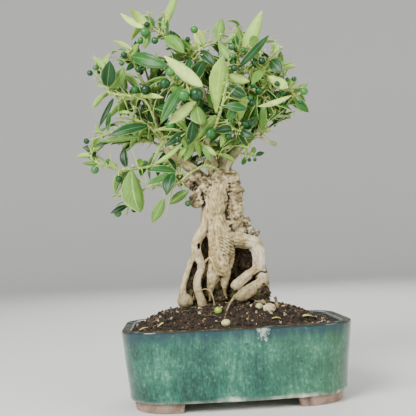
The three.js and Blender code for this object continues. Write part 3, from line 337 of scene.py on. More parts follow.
# Pinholes of 1 mm that fired dark, milky grains, and one milky run on the front
pinholes = add(tree, "TexVoronoi", {"Vector": where, "Scale": 80}, out="Distance")
pinholes = add(tree, "MapRange", {"Value": pinholes, "From Min": 0.13, "From Max": 0.07, "To Max": 0.75})
milk = add(tree, "MapRange", {"Value": grains, "From Min": 0.62, "From Max": 0.74, "To Max": 0.3})
off = add(tree, "VectorMath", {0: where, 1: spot(20, -72, 71)}, operation="SUBTRACT")
off = add(tree, "Mapping", {"Vector": off, "Scale": (1, 0.3, 0.5)})
off = add(tree, "VectorMath", {0: off}, operation="LENGTH", out="Value")
off = add(tree, "Math", {0: grains, 1: -0.022, 2: off}, operation="MULTIPLY_ADD")
milky_run = add(tree, "MapRange", {"Value": off, "From Min": -0.0056, "From Max": -0.0095, "To Max": 0.7})
# The glaze ends in a whitish roll, thickest along the front and right, and breaks to brown on the rim
ragged = add(tree, "Math", {0: clouds, 1: -0.009, 2: height}, operation="MULTIPLY_ADD")
edge = add(tree, "MapRange", {"Value": ragged, "From Min": 0.0085, "From Max": 0.0045})
side = {"From Min": -0.035, "From Max": -0.005, "To Min": 0.25}
gathered = add(tree, "MapRange", {"Value": from_middle, **side})
patchy = add(tree, "MapRange", {"Value": drips, "From Min": 0.38, "From Max": 0.56, "To Min": 0.2})
patchy = add(tree, "Math", {0: patchy, 1: gathered}, operation="MULTIPLY")
edge = add(tree, "Math", {0: edge, 1: patchy}, operation="MULTIPLY")
worn = add(tree, "Math", {0: clouds, 1: 0.0012, 2: height}, operation="MULTIPLY_ADD")
breaking = add(tree, "MapRange", {"Value": worn, "From Min": 0.0719, "From Max": 0.0729})
for share, colour in (
    (ends, "#467239"), (band, "#07333f"), (pinholes, "#12312e"), (milk, "#a5c9b0"), (milky_run, "#c6cfc4"),
    (edge, "#cfd2bf"), (breaking, "#43301f"),
):
    body = add(tree, "Mix", {0: share, 6: body, 7: colour}, data_type="RGBA", out=2)
ripple = add(tree, "TexNoise", {"Vector": where, "Scale": 160, "Detail": 3})
finish(tree, shader, body, ripple, (0.22, 0.001))

# On the flat of the lip the glaze ran thin over the clay, so it is duller, and brown shows through the green
thin_glaze = mottled(
    "thin_glaze_on_the_lip", {"Scale": 130, "Detail": 5, "Roughness": 0.65},
    [(0.38, "#2a1f15"), (0.5, "#3b3a2e"), (0.64, "#5c6c60")], (0.3, 0.0008),
    Roughness=0.65, IOR=1.4, Specular_IOR_Level=0.1,
)

pot = piece("pot_body", risen(POT_LEVELS, glaze_ring), glaze, thin_glaze)
for face in pot.data.polygons:
    if face.normal.z > 0.7 and face.center.z > MIDDLE.z + LIP_TOP * MM:
        face.material_index = 1
for x in (-DRAIN["x"], DRAIN["x"]):
    bm = bmesh.new()
    through = Matrix.Translation(spot(x, 0, FLOOR_TOP / 2))
    radius = DRAIN["radius"] * MM
    bmesh.ops.create_cone(
        bm, cap_ends=True, segments=40, radius1=radius, radius2=radius, depth=DRAIN["cut"] * MM,
        matrix=through,
    )
    cutter = linked("drain_cutter", bm)
    cut = pot.modifiers.new("drain", "BOOLEAN")
    cut.object = cutter
    applied(pot)
    bpy.data.objects.remove(cutter)
pot.data.shade_smooth()
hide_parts("pot")

# The feet: bare clay of the same body, one bent strip under each corner, cut off at a slant at its ends and
# rounded by handling. They were pressed on before firing, so here they are sunk into the pot's underside.
FOOT = {"run": 47, "side": 40, "inset": 3, "width": 13, "slant": 2.2, "sunk": 1.2, "round": 0.9}

clay, tree, shader = new_material("bare_stoneware", Roughness=0.92)
where = add(tree, "TexCoord", out="Object")
# Unglazed clay is matt, with sand of 0.5 to 1 mm in it and 15 mm stains from water
sand = add(tree, "TexNoise", {"Vector": where, "Scale": 1300, "Detail": 3, "Roughness": 0.7})
stains = add(tree, "TexNoise", {"Vector": where, "Scale": 70, "Detail": 4})
stains = add(tree, "Math", {0: stains, 1: 0.5}, operation="MULTIPLY")
tone = add(tree, "Math", {0: sand, 1: 0.5, 2: stains}, operation="MULTIPLY_ADD")
body = add(tree, "ValToRGB", {"Fac": tone}, stops=[(0.34, "#5d4a3f"), (0.5, "#947b6a"), (0.66, "#b69f8d")])
finish(tree, shader, body, sand, (0.5, 0.0006))

# Vector noise starts from the clock unless it has a seed, and the shapes would change from run to run
noise.seed_set(1795623055)


def make_foot(sx, sy):
    top = FOOT_LINE["z"] + FOOT["sunk"]
    low_out = FOOT["inset"] + FOOT["slant"]
    half_long, half_deep = FOOT_LINE["long"] / 2, FOOT_LINE["deep"] / 2
    pivot = Vector((half_long - FOOT_LINE["corner"], half_deep - FOOT_LINE["corner"], 0))
    end_x = half_long - FOOT["inset"] - FOOT["run"]
    end_y = half_deep - FOOT["inset"] - FOOT["side"]
    bm = bmesh.new()
    section = [
        bm.verts.new((end_x + FOOT["slant"], half_deep - low_out, 0)),
        bm.verts.new((end_x, half_deep - FOOT["inset"], top)),
        bm.verts.new((end_x, half_deep - FOOT["inset"] - FOOT["width"], top)),
        bm.verts.new((end_x + FOOT["slant"], half_deep - FOOT["inset"] - FOOT["width"], 0)),
    ]
    face = bm.faces.new(section)
    grown = bmesh.ops.extrude_face_region(bm, geom=[face])["geom"]
    for v in (g for g in grown if isinstance(g, bmesh.types.BMVert)):
        v.co.x = pivot.x
    last = [g for g in grown if isinstance(g, bmesh.types.BMFace)]
    turned = bmesh.ops.spin(bm, geom=last, cent=pivot, axis=(0, 0, -1), angle=math.pi / 2, steps=12)
    last = [g for g in turned["geom_last"] if isinstance(g, bmesh.types.BMFace)]
    grown = bmesh.ops.extrude_face_region(bm, geom=last)["geom"]
    bmesh.ops.delete(bm, geom=last, context="FACES_ONLY")
    for v in (g for g in grown if isinstance(g, bmesh.types.BMVert)):
        v.co.y = end_y if v.co.z > top / 2 else end_y + FOOT["slant"] - 0.4
    bmesh.ops.remove_doubles(bm, verts=bm.verts[:], dist=0.01)
    bmesh.ops.recalc_face_normals(bm, faces=bm.faces[:])
    sharp = [e for e in bm.edges if len(e.link_faces) == 2 and e.calc_face_angle() > 0.7]
    bmesh.ops.bevel(
        bm, geom=sharp, offset=FOOT["round"], segments=2, profile=0.5, affect="EDGES", material=-1,
    )
    for v in bm.verts:
        rough = noise.noise_vector(v.co * 0.22) * 0.35
        if v.co.z < 0.2:
            rough.z = 0
        v.co += rough
        v.co = spot(v.co.x * sx, v.co.y * sy, max(v.co.z, 0))
    bmesh.ops.recalc_face_normals(bm, faces=bm.faces[:])
    return bm


for name, (sx, sy) in {
    "back_right": (1, 1), "back_left": (-1, 1), "front_left": (-1, -1), "front_right": (1, -1),
}.items():
    foot = piece(f"pot_foot_{name}", make_foot(sx, sy), clay)

# The drain screens: squares of black plastic net over the two holes, under the soil. Only their mesh shows,
# from below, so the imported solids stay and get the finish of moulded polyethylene.
# Moulded polyethylene has a dull sheen, under dust in patches of 3 mm
net = mottled(
    "black_polyethylene_net", {"Scale": 300, "Detail": 3}, [(0.4, "#141513"), (0.75, "#3a342b")],
    Roughness=0.5, IOR=1.5,
)
for side in ("left", "right"):
    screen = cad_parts[f"drain_screen_{side}"]
    screen.data.materials.clear()
    screen.data.materials.append(net)

# The compost: dark bark humus heaped up to the trunk, kept a finger's breadth below the lip. Loose crumbs of
# bark, grit and pale pumice lie on it, with thin dead roots, and a film of moss close to the trunk.
SOIL = {"edge": 69.5, "rise": 20, "peak_x": -6, "reach_x": 91, "reach_y": 61}
SOIL_GAP = 0.3
SOIL_RINGS = 46
CRUMBS = 3000
LUMPS = {"count": 320, "size": (1.1, 2.1)}
FIBRES = {"count": 70, "long": (6, 20), "radius": (0.16, 0.42)}


def soil_height(x, y):
    far = min(math.hypot((x - SOIL["peak_x"]) / SOIL["reach_x"], y / SOIL["reach_y"]), 1)
    lumps = math.sin(x * 0.31 + 1.3) * math.cos(y * 0.37 + 0.4) + 0.7 * math.sin(x * 0.13 - y * 0.21)
    return SOIL["edge"] + SOIL["rise"] * (1 - far**3) + 0.9 * lumps * (1 - 0.6 * far)


def soil_ring(level):
    z, inset, spread = level
    if not spread:
        return [spot(x, y, z) for x, y in wall(z, LIP + SOIL_GAP + inset)]
    points = []
    for x, y in wall(z, LIP + SOIL_GAP):
        x, y = x * spread, y * spread
        grain = Vector((x, y, 0))
        rough = noise.noise(grain * 0.55) * 1.1 + noise.noise(grain * 1.7) * 0.5
        points.append(spot(x, y, soil_height(x, y) + rough * min((1 - spread) * 12, 1)))
    return points


bottom = FLOOR_TOP + SOIL_GAP
soil_levels = [(bottom, 6.5, 0), (bottom + 6.5, 0, 0)]
soil_levels += [(SOIL["edge"], 0, 1 - i / SOIL_RINGS) for i in range(SOIL_RINGS)]

# Damp humus is near black and matt, with fibres and dust of 1 to 3 mm
compost = mottled(
    "bark_compost", {"Scale": 420, "Detail": 5, "Roughness": 0.75},
    [(0.36, "#120c07"), (0.5, "#2a1e12"), (0.6, "#46351f"), (0.7, "#7b684a")], (0.9, 0.0012), Roughness=0.95,
)

heap = piece("soil_heap", risen(soil_levels, soil_ring), compost)
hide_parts("soil")



def toned(tree, stops):
    """Colour by the tone that each small part of a piece has of its own."""
    tone = add(tree, "Attribute", attribute_name="tone", out="Fac")
    return add(tree, "ValToRGB", {"Fac": tone}, stops=stops)


# Each crumb has one tone, from black bark to pale pumice, with a grain of 0.7 mm
crumb_stuff, tree, shader = new_material("crumbs_of_bark_and_grit", Roughness=0.9)
body = toned(
    tree, [(0.0, "#150e08"), (0.45, "#33251a"), (0.7, "#5d4a30"), (0.84, "#8f7d58"), (0.95, "#c9bc94")]
)
where = add(tree, "TexCoord", out="Object")
bits = add(tree, "TexNoise", {"Vector": where, "Scale": 1500, "Detail": 3})
light = {"From Min": 0.3, "From Max": 0.7, "To Min": 0.6, "To Max": 1.15}
shade = add(tree, "MapRange", {"Value": bits, **light})
body = add(tree, "Mix", {0: 1.0, 6: body, 7: shade}, data_type="RGBA", blend_type="MULTIPLY", out=2)
finish(tree, shader, body)


def lump(bm, fineness, at, half, turn=Quaternion()):
    """The corners of a new closed lump, with its middle and half sizes in millimetres."""
    size = Matrix.Diagonal((*(Vector(half) * MM), 1))
    shape = Matrix.Translation(spot(*at)) @ turn.to_matrix().to_4x4() @ size
    return bmesh.ops.create_icosphere(bm, subdivisions=fineness, radius=1, matrix=shape)["verts"]


def pebbles(places):
    """Small closed stones as one bmesh: each place gives a point, three half sizes, a turn and a tone."""
    bm = bmesh.new()
    tone = bm.verts.layers.float.new("tone")
    for at, half, turn, value in places:
        for v in lump(bm, 1, at, half, turn):
            v[tone] = value
            v.co += noise.noise_vector(v.co * 1100) * min(half) * 0.75 * MM
    return bm


def any_turn(luck):
    return Quaternion((luck.gauss(0, 1), luck.gauss(0, 1), luck.gauss(0, 1), luck.gauss(0, 1))).normalized()


def on_soil(luck, reach=0.97):
    x0, x1 = -RIM["long"] / 2 + LIP, RIM["long"] / 2 - LIP
    y0, y1 = -RIM["deep"] / 2 + LIP, RIM["deep"] / 2 - LIP
    while True:
        x, y = luck.uniform(x0, x1), luck.uniform(y0, y1)
        far = (abs(x) / x1) ** 5 + (abs(y) / y1) ** 5
        if far < reach**5:
            return x, y


luck = random.Random(4)
places = []
for _ in range(CRUMBS):
    x, y = on_soil(luck)
    size = 0.45 + 1.5 * luck.random() ** 4
    half = (size * luck.uniform(0.8, 1.7), size * luck.uniform(0.7, 1.1), size * luck.uniform(0.5, 0.9))
    value = luck.random() ** 1.9
    places.append(((x, y, soil_height(x, y) + 0.35 * size), half, any_turn(luck), value))
for _ in range(LUMPS["count"]):
    x, y = on_soil(luck, 0.93)
    size = luck.uniform(*LUMPS["size"])
    half = (size * luck.uniform(0.9, 1.5), size * luck.uniform(0.8, 1.2), size * luck.uniform(0.5, 0.8))
    places.append(((x, y, soil_height(x, y) + 0.2 * size), half, any_turn(luck), luck.uniform(0.1, 0.72)))
crumbs = piece("soil_crumbs", pebbles(places), crumb_stuff)


def add_tubes(bm, strokes, sides, closed=False):
    """Round stems, shut at both ends or joined into rings: each has points and radii in millimetres."""
    line = bpy.data.curves.new("stems", "CURVE")
    line.dimensions = "3D"
    line.bevel_depth = MM
    line.bevel_resolution = (sides - 4) // 2
    line.use_fill_caps = not closed
    for points, radii in strokes:
        spline = line.splines.new("POLY")
        spline.points.add(len(points) - 1)
        spline.use_cyclic_u = closed
        for control, point, radius in zip(spline.points, points, radii):
            control.co = (*spot(*point), 1)
            control.radius = radius
    holder = bpy.data.objects.new("stems", line)
    mesh = bpy.data.meshes.new_from_object(holder)
    old = set(bm.faces)
    bm.from_mesh(mesh)
    bpy.data.objects.remove(holder)
    bpy.data.curves.remove(line)
    bpy.data.meshes.remove(mesh)
    return [f for f in bm.faces if f not in old]


def tidied(bm):
    bmesh.ops.remove_doubles(bm, verts=bm.verts[:], dist=0.00001)
    bmesh.ops.recalc_face_normals(bm, faces=bm.faces[:])
    return bm


def wander(luck, start, aim, length, steps, sway, fall=0.0):
    """Points of a thin root or shoot that strays from its aim."""
    points = [Vector(start)]
    aim = Vector(aim).normalized()
    for _ in range(steps):
        aim += Vector((luck.gauss(0, sway), luck.gauss(0, sway), luck.gauss(0, sway) - fall))
        aim.normalize()
        points.append(points[-1] + aim * (length / steps))
    return points


# Dry bark of dead roots is matt brown, worn paler in lengths of 8 mm
dead_root = mottled(
    "dead_roots", {"Scale": 130, "Detail": 3}, [(0.35, "#3b2a1a"), (0.55, "#7a6140"), (0.7, "#b39b6c")],
    Roughness=0.85,
)

bm = bmesh.new()
strokes = []
for _ in range(FIBRES["count"]):
    x, y = on_soil(luck, 0.86)
    turn = luck.uniform(0, 2 * math.pi)
    aim = (math.cos(turn), math.sin(turn), 0)
    way = wander(luck, (x, y, 0), aim, luck.uniform(*FIBRES["long"]), 6, 0.28)
    for point in way:
        point.z = soil_height(point.x, point.y) + luck.uniform(0.2, 1.3)
    radius = luck.uniform(*FIBRES["radius"])
    strokes.append((way, [radius] * (len(way) - 1) + [radius * 0.5]))
add_tubes(bm, strokes, 4)
fibres = piece("soil_fibres", tidied(bm), dead_root)

# The trunk: living wood of an old citrus whose roots were lifted clear of the soil. Roots, burls and limbs
# are grown into one body, so their strokes are merged and then carved with grain, folds, layers and pits.
# A stroke runs through points across and up as the photograph shows them, each with its depth and radius.
EYE = Vector((-54, -751, 147))
WOOD = {
    "column": [
        (-14, 158, 2, 12), (-15.5, 170, 1, 11.6), (-14.5, 178, 0, 11.8), (-12.3, 188, 0, 12.8),
        (-9, 200, 0, 13.2), (-5, 210, 0, 12), (-3, 216, 0, 9), (-2, 220, 0, 4.5),
    ],
    "core": [
        (-14, 186, 2, 8), (-11, 167, 6, 11), (-10, 141, 9, 12), (-11, 115, 12, 11), (-13, 95, 14, 11),
        (-14, 76, 14, 10),
    ],
    "left_strand": [
        (-20, 173, -2, 6), (-22, 164.6, -3, 5.6), (-27, 157.5, -4, 5.2), (-31.8, 149.8, -5, 5),
        (-32.8, 143.7, -5, 4.7), (-30.5, 134.7, -6, 4.4), (-28.1, 125.8, -7, 3.9), (-31.6, 117.2, -8, 3.8),
        (-33.4, 108.9, -9, 4), (-32.1, 100.5, -10, 4), (-29.6, 92, -11, 4.5), (-28, 80, -11, 4.2),
    ],
    "outer_root": [
        (-32, 143, -3, 3), (-38.5, 130, -3, 2.8), (-43, 119, -3, 2.8), (-46.5, 108, -4, 3),
        (-47.5, 98, -6, 4), (-46, 80, -6, 4.5),
    ],
    "belly": [
        (-15, 186, 0, 7), (-12.5, 174, -1, 10), (-9.5, 161, -4, 12), (-8, 148, -7, 13),
        (-8.2, 137, -9, 12.6), (-9.5, 126, -9, 11), (-11, 116, -9, 8),
    ],
    "burl_stack": [
        (5, 213, -2, 5), (6.4, 206, -2, 8.2), (7.2, 201.5, -2, 6.4), (7.6, 198, -2, 7.8),
        (7.8, 193.5, -3, 8), (7.6, 190, -3, 6.4), (7.8, 186, -3, 8.4), (7.6, 182.5, -3, 6.6),
        (7.6, 178.5, -3, 8.4), (7.2, 175, -3, 6.8), (6.8, 170.5, -3, 8.8), (6, 160, -3, 8),
    ],
    "burl_web": [(-3, 207, 4, 7), (-2.4, 190, 4, 6.4), (-2, 172, 4, 7)],
    "left_lobe": [
        (-14, 129, -9, 7), (-18, 114, -10, 6.4), (-20.2, 107, -10, 4.2), (-21, 100, -8, 2),
        (-22, 92, -6, 1.4),
    ],
    "right_lobe": [
        (-5, 129, -9, 6.5), (-6, 115, -9, 5), (-7.3, 107.5, -9, 3.2), (-7, 100, -7, 1.7),
        (-5.5, 92, -5, 1.3),
    ],
    "right_arm": [
        (-7, 157, 0, 9), (4, 152.5, -2, 9), (14.1, 148.6, -3, 7.8), (22, 147.2, -4, 7),
        (26.8, 141.5, -4, 7.2), (27.8, 130.8, -5, 6.6), (27.6, 122.5, -5, 6.5), (29.3, 114.5, -4, 6.9),
        (30.2, 104, -1.5, 6.1), (29.5, 80, 0, 4.6),
    ],
    "shoulder": [(-7, 153, -6, 9), (0, 151.5, -7, 8.6), (7, 150, -6, 8), (15, 148.6, -4, 7)],
    "upper_toe": [
        (24, 120, -6, 4.4), (18.5, 117, -8, 4.5), (11.2, 112, -12, 4.8), (4, 106.6, -15, 4.8),
        (0.6, 103, -16, 3.2),
    ],
    "lower_toe": [
        (31, 109, -4, 5), (21.3, 103, -10, 6), (12, 97.5, -15, 6.2), (6, 95, -18, 5),
        (2.4, 95.5, -20, 2.8),
    ],
    "cross_root": [
        (-25, 130, -13, 1.6), (-19.5, 134, -21, 1.3), (-16.5, 127, -22, 1.2), (-12, 122, -21, 1.2),
        (-7, 118.5, -18, 1.4),
    ],
    "trailing_root": [
        (3, 96, -20, 1.9), (-1, 91.5, -27, 1.4), (-4.5, 86, -34, 1.2), (-7.2, 79.4, -43, 1),
        (-8.5, 75, -48, 0.8),
    ],
    "hanging_root": [(-31, 103, -12, 1), (-25, 104, -19, 0.9), (-20, 100, -21, 0.9), (-17.5, 88, -21, 0.9)],
    "back_root_left": [
        (-16, 134, 13, 7.5), (-25, 124, 21, 6.2), (-31, 113, 25, 6.2), (-40, 103, 31, 5),
        (-43, 93, 34, 5.2), (-49, 78, 37, 4),
    ],
    "back_root_left_fork": [(-32, 111, 27, 3.8), (-35, 101, 36, 3), (-34, 92, 42, 2.6), (-38, 79, 48, 2)],
    "back_root_right": [
        (0, 134, 12, 7.5), (9, 123, 19, 6.2), (13, 113, 23, 6), (22, 102, 28, 5.2), (25, 92, 32, 5),
        (33, 77, 35, 4),
    ],
    "back_root_right_fork": [(15, 110, 25, 3.6), (14, 99, 35, 3), (17, 89, 42, 2.4), (16, 76, 48, 1.8)],
    "back_root_middle": [
        (-8, 124, 16, 8), (-5, 113, 24, 6), (-8, 103, 31, 6), (-4, 92, 38, 4.8), (-3, 76, 43, 3.8),
    ],
    "back_root_middle_fork": [
        (-8, 105, 30, 3.6), (-14, 96, 38, 2.8), (-16, 87, 45, 2.4), (-21, 76, 50, 1.8),
    ],
    "broken_stub": [(-26, 211, -3, 5.6), (-37, 212, -5, 4.6), (-48, 205, -7, 2.6)],
    "right_limb": [
        (-1, 206, 0, 6), (1, 221, 0, 5), (11, 236, -2, 4.3), (23, 246, -3, 3.8), (32, 252, -3, 3.4),
        (38, 261, -2, 2.6), (46, 268, 0, 2.4), (66, 267, 2, 1.8),
    ],
    "cut_twig": [(31, 250, -3, 1.7), (41, 244.5, -6, 1.5), (46, 242, -7, 2.3), (50, 240, -8, 2.8)],
    "left_limb": [
        (-20, 206, 0, 7), (-34, 221, 3, 5.4), (-47, 231, 5, 4.8), (-57, 242, 6, 3.8), (-63, 256, 4, 2.8),
        (-66, 271, 0, 2),
    ],
    "middle_limb": [
        (-10, 210, 3, 7), (-14, 228, 6, 5.4), (-18, 250, 8, 4), (-15, 275, 6, 3.2), (-20, 300, 4, 2.4),
        (-30, 322, 2, 1.9), (-39, 335, -1, 1.5),
    ],
    "inner_right_limb": [
        (-18, 250, 8, 3), (-2, 268, 13, 2.8), (13, 292, 10, 2.3), (16, 310, 6, 1.9), (17, 322, 3, 1.5),
    ],
    "back_limb": [(-9, 206, 6, 6), (-5, 226, 22, 4.2), (0, 244, 38, 3), (4, 260, 50, 2)],
    "back_left_limb": [(-34, 221, 3, 3.8), (-45, 237, 23, 3.2), (-57, 255, 40, 2.2), (-65, 270, 47, 1.6)],
    "front_limb": [(-13, 222, 5, 4), (-16, 238, -13, 3), (-19, 254, -29, 2.2), (-25, 269, -38, 1.6)],
    "right_high_limb": [(37, 259, -2, 2.3), (42, 275, 2, 2.1), (48, 290, 4, 1.7), (56, 300, 3, 1.4)],
}
# Middle and half sizes of each lump, and how knobbly it is
BURLS = [
    ((4, 210, -1), (9, 9, 7.6), 1), ((-8, 211, -6), (7.4, 7, 7.4), 1),
    ((3.4, 166.5, -8), (9.6, 7.4, 2.8), 0.5), ((7, 158, -2), (10.6, 9, 9.4), 0.2),
    ((14.6, 196.5, -4), (3, 3, 3.2), 1), ((17.6, 167, -3), (4.8, 4.4, 5.2), 1),
    ((20, 158.5, -3), (5, 4.4, 4.8), 1), ((26, 156.5, -4), (4.4, 4, 4), 1),
    ((-22.5, 205, -3), (8, 8.6, 8.6), 1), ((-31, 214, -2), (7.2, 7, 5.8), 1),
    ((-27.5, 197, -2), (6.4, 7, 6), 1), ((-37, 208, -3), (5, 5, 5.4), 1),
    ((-29.4, 189.5, -3), (7.4, 6.4, 6.8), 1), ((-45.5, 94, -9), (8, 7.2, 6.8), 0.3),
    ((22, 96, -6), (7.4, 7, 6), 0.3), ((29, 99, -4), (6.4, 6.4, 5.4), 0.3),
    ((27, 88, -9), (7, 6.6, 6.4), 0.3), ((-31.5, 205, 3), (7, 4, 7), 1),
]
RING_BURL = {"at": (-30.4, 189.6, -9), "radius": 5, "tube": 2.6, "steps": 20}
HOLLOWS = [
    ((-31, 203.5, -8), (3.6, 5, 4.6)), ((-29.8, 145.5, -9), (1.5, 9, 3)), ((-23.5, 194, -10), (2, 5, 4)),
]
BURL_LAYERS = {"z": (203.5, 194.5, 186.5, 178, 170.5), "half": 1.1, "deep": 1.2}
CRACK = {"z": 117.5, "x": (19, 40), "half": 0.9, "deep": 0.8}
FOLD_DEPTH = 0.3
WRINKLE = 3
STEPS = 6
DRAWN_OUT = 0.16
WOOD_GRAIN = 0.86
# How much of its length is knobbly, pale and bare, or young and green
GNARLED = {"burl_stack": 0.6, "broken_stub": 1.0, "left_lobe": 0.4, "right_lobe": 0.4}
PALE = {"right_arm": 0.85, "left_strand": 0.45, "outer_root": 0.4, "upper_toe": 0.35, "lower_toe": 0.3}
LIMBS = {
    "right_limb": 0.8, "cut_twig": 0.6, "left_limb": 0.25, "middle_limb": 0.55, "inner_right_limb": 0.7,
    "back_limb": 0.6, "back_left_limb": 0.6, "front_limb": 0.7, "right_high_limb": 0.9,
}


def seen(x, z, y=0):
    return EYE + (Vector((x, 0, z)) - EYE) * (1 - y / EYE.y)


def smooth_way(points):
    """A curve through the points, read from 0 to 1."""
    ends = [points[0] * 2 - points[1], *points, points[-1] * 2 - points[-2]]

    def at(t):
        place = t * (len(points) - 1)
        low = min(int(place), len(points) - 2)
        w = place - low
        p0, p1, p2, p3 = ends[low : low + 4]
        m1, m2 = (p2 - p0) / 2, (p3 - p1) / 2
        return p1 + m1 * w + (3 * (p2 - p1) - 2 * m1 - m2) * w**2 + (2 * (p1 - p2) + m1 + m2) * w**3

    return at


def between(values, t):
    place = t * (len(values) - 1)
    low = min(int(place), len(values) - 2)
    return values[low] + (values[low + 1] - values[low]) * (place - low)


bm = bmesh.new()
strokes, grain_points = [], []
for name, stroke in WOOD.items():
    at = smooth_way([seen(x, z, y) for x, z, y, _ in stroke])
    steps = STEPS * (len(stroke) - 1)
    line = [at(i / steps) for i in range(steps + 1)]
    radii = [radius for *_, radius in stroke]
    strokes.append((line, [between(radii, i / steps) for i in range(steps + 1)]))
    run = 0
    for i, point in enumerate(line):
        along = (line[min(i + 1, steps)] - line[max(i - 1, 0)]).normalized()
        run += (point - line[max(i - 1, 0)]).length
        grain_points.append((point, along, run, i / steps, name))
add_tubes(bm, strokes, 14)
for at, half, _ in BURLS:
    lump(bm, 3, seen(*at), half)
ring_middle = seen(*RING_BURL["at"])
ring = []
for i in range(RING_BURL["steps"]):
    turn = i / RING_BURL["steps"] * 2 * math.pi
    ring.append(ring_middle + Vector((math.cos(turn), 0, math.sin(turn))) * RING_BURL["radius"])
add_tubes(bm, [(ring, [RING_BURL["tube"]] * len(ring))], 10, closed=True)
trunk = linked("trunk_wood", tidied(bm))
merge = trunk.modifiers.new("grown_together", "REMESH")
merge.mode = "VOXEL"
merge.voxel_size = WOOD_GRAIN * MM
applied(trunk)


class Skin:
    """The trunk's skin as arrays: points in millimetres, and the edges that carry smoothing."""

    def __init__(self, mesh):
        self.mesh = mesh
        count = len(mesh.vertices)
        flat = np.empty(count * 3)
        mesh.vertices.foreach_get("co", flat)
        self.at = (flat.reshape(-1, 3) - np.array(MIDDLE)) / MM
        ends = np.empty(len(mesh.edges) * 2, dtype=np.int64)
        mesh.edges.foreach_get("vertices", ends)
        self.ends = ends.reshape(-1, 2)
        self.degree = np.bincount(ends, minlength=count)[:, None]

    def smoothed(self, values, times):
        values = values.reshape(len(values), -1)
        for _ in range(times):
            total = np.zeros_like(values)
            np.add.at(total, self.ends[:, 0], values[self.ends[:, 1]])
            np.add.at(total, self.ends[:, 1], values[self.ends[:, 0]])
            values = values * 0.4 + total / self.degree * 0.6
        return values

    def normals(self):
        self.store()
        flat = np.empty(len(self.at) * 3)
        self.mesh.vertex_normals.foreach_get("vector", flat)
        return flat.reshape(-1, 3)

    def store(self):
        self.mesh.vertices.foreach_set("co", (self.at * MM + np.array(MIDDLE)).ravel())
        self.mesh.update()


skin = Skin(trunk.data)
skin.at = skin.smoothed(skin.at, 3)
for at, half in HOLLOWS:
    middle, half = np.array(seen(*at)), np.array(half)
    off = (skin.at - middle) / half
    across = off[:, 0] ** 2 + off[:, 2] ** 2
    floor_y = middle[1] + half[1] * np.sqrt(np.clip(1 - across, 0, 1))
    inside = (across < 1) & (off[:, 1] > -2.5) & (skin.at[:, 1] < floor_y)
    skin.at[inside, 1] = floor_y[inside]
skin.at = skin.smoothed(skin.at, 1)

tree_of_ways = kdtree.KDTree(len(grain_points))
for i, entry in enumerate(grain_points):
    tree_of_ways.insert(entry[0], i)
tree_of_ways.balance()
burl_middles = np.array([seen(*at) for at, _, _ in BURLS])
burl_halves, burl_rough = np.array([half for _, half, _ in BURLS]), np.array([rough for *_, rough in BURLS])
off = np.linalg.norm((skin.at[:, None, :] - burl_middles) / burl_halves, axis=2)
gnarl = np.clip(1.6 - off.min(axis=1), 0, 0.6) / 0.6 * burl_rough[off.argmin(axis=1)]
ring_off = skin.at - np.array(ring_middle)
gnarl = np.maximum(gnarl, np.clip(2 - np.linalg.norm(ring_off, axis=1) / RING_BURL["radius"], 0, 1))
count = len(skin.at)
fine, lift, young, pale = (np.zeros(count) for _ in range(4))
for i, point in enumerate(skin.at):
    here = Vector(point)
    _, nearest, _ = tree_of_ways.find(here)
    middle, along, run, t, name = grain_points[nearest]
    out = here - middle
    out -= along * out.dot(along)
    far = out.length
    stretched = out + along * (run * DRAWN_OUT)
    fine[i] = noise.noise(stretched * 0.55) * 0.55 + noise.noise(stretched * 1.5) * 0.3
    young[i] = LIMBS.get(name, 0) * min(t * 3, 1)
    pale[i] = PALE.get(name, 0) * min(t * 2, 1)
    gnarl[i] = max(gnarl[i], GNARLED.get(name, 0))
    uneven = noise.noise(here * 0.11) + 0.6 * noise.noise(here * 0.27)
    split = max(0.11 - abs(noise.noise(stretched * 0.3 + Vector((7, 3, 1)))), 0) / 0.11
    aged = 1 - LIMBS.get(name, 0)
    lift[i] = fine[i] * min(far, 10) * 0.06 + uneven * min(far, 8) * 0.1 - split * aged * min(far, 9) * 0.075
    if gnarl[i] > 0.02:
        flat = Vector((here.x * 0.8, here.y * 0.8, here.z * 1.5))
        knobs = noise.voronoi(flat * 0.2 + noise.noise_vector(here * 0.2) * 0.6)[0]
        ragged = noise.noise(flat * 0.32) + 0.5 * noise.noise(flat * 0.8)
        lift[i] += gnarl[i] * (0.55 - 1.25 * knobs[0] + 0.5 * (knobs[1] - knobs[0]) + 1.0 * ragged)
gnarl = skin.smoothed(gnarl, 6)[:, 0]
young = skin.smoothed(young, 12)[:, 0]
pale = skin.smoothed(pale, 12)[:, 0]
lift = skin.smoothed(lift, 1)[:, 0]
# Skin folds across the belly where the trunk was bent, crevices between the layers of the burls on the
# right, and the crack round the right arm
x, y, z = skin.at.T
belly = np.exp(-(((x + 5) / 13) ** 2) - ((z - 139) / 12) ** 2) * (y < 0)
folds = np.sin((z + 0.02 * (x + 9) ** 2 - 2.2 * np.sin(x * 0.22) + 2.6 * fine) * 1.5 + 1.3 * np.sin(z * 0.31))
lift += belly * FOLD_DEPTH * folds
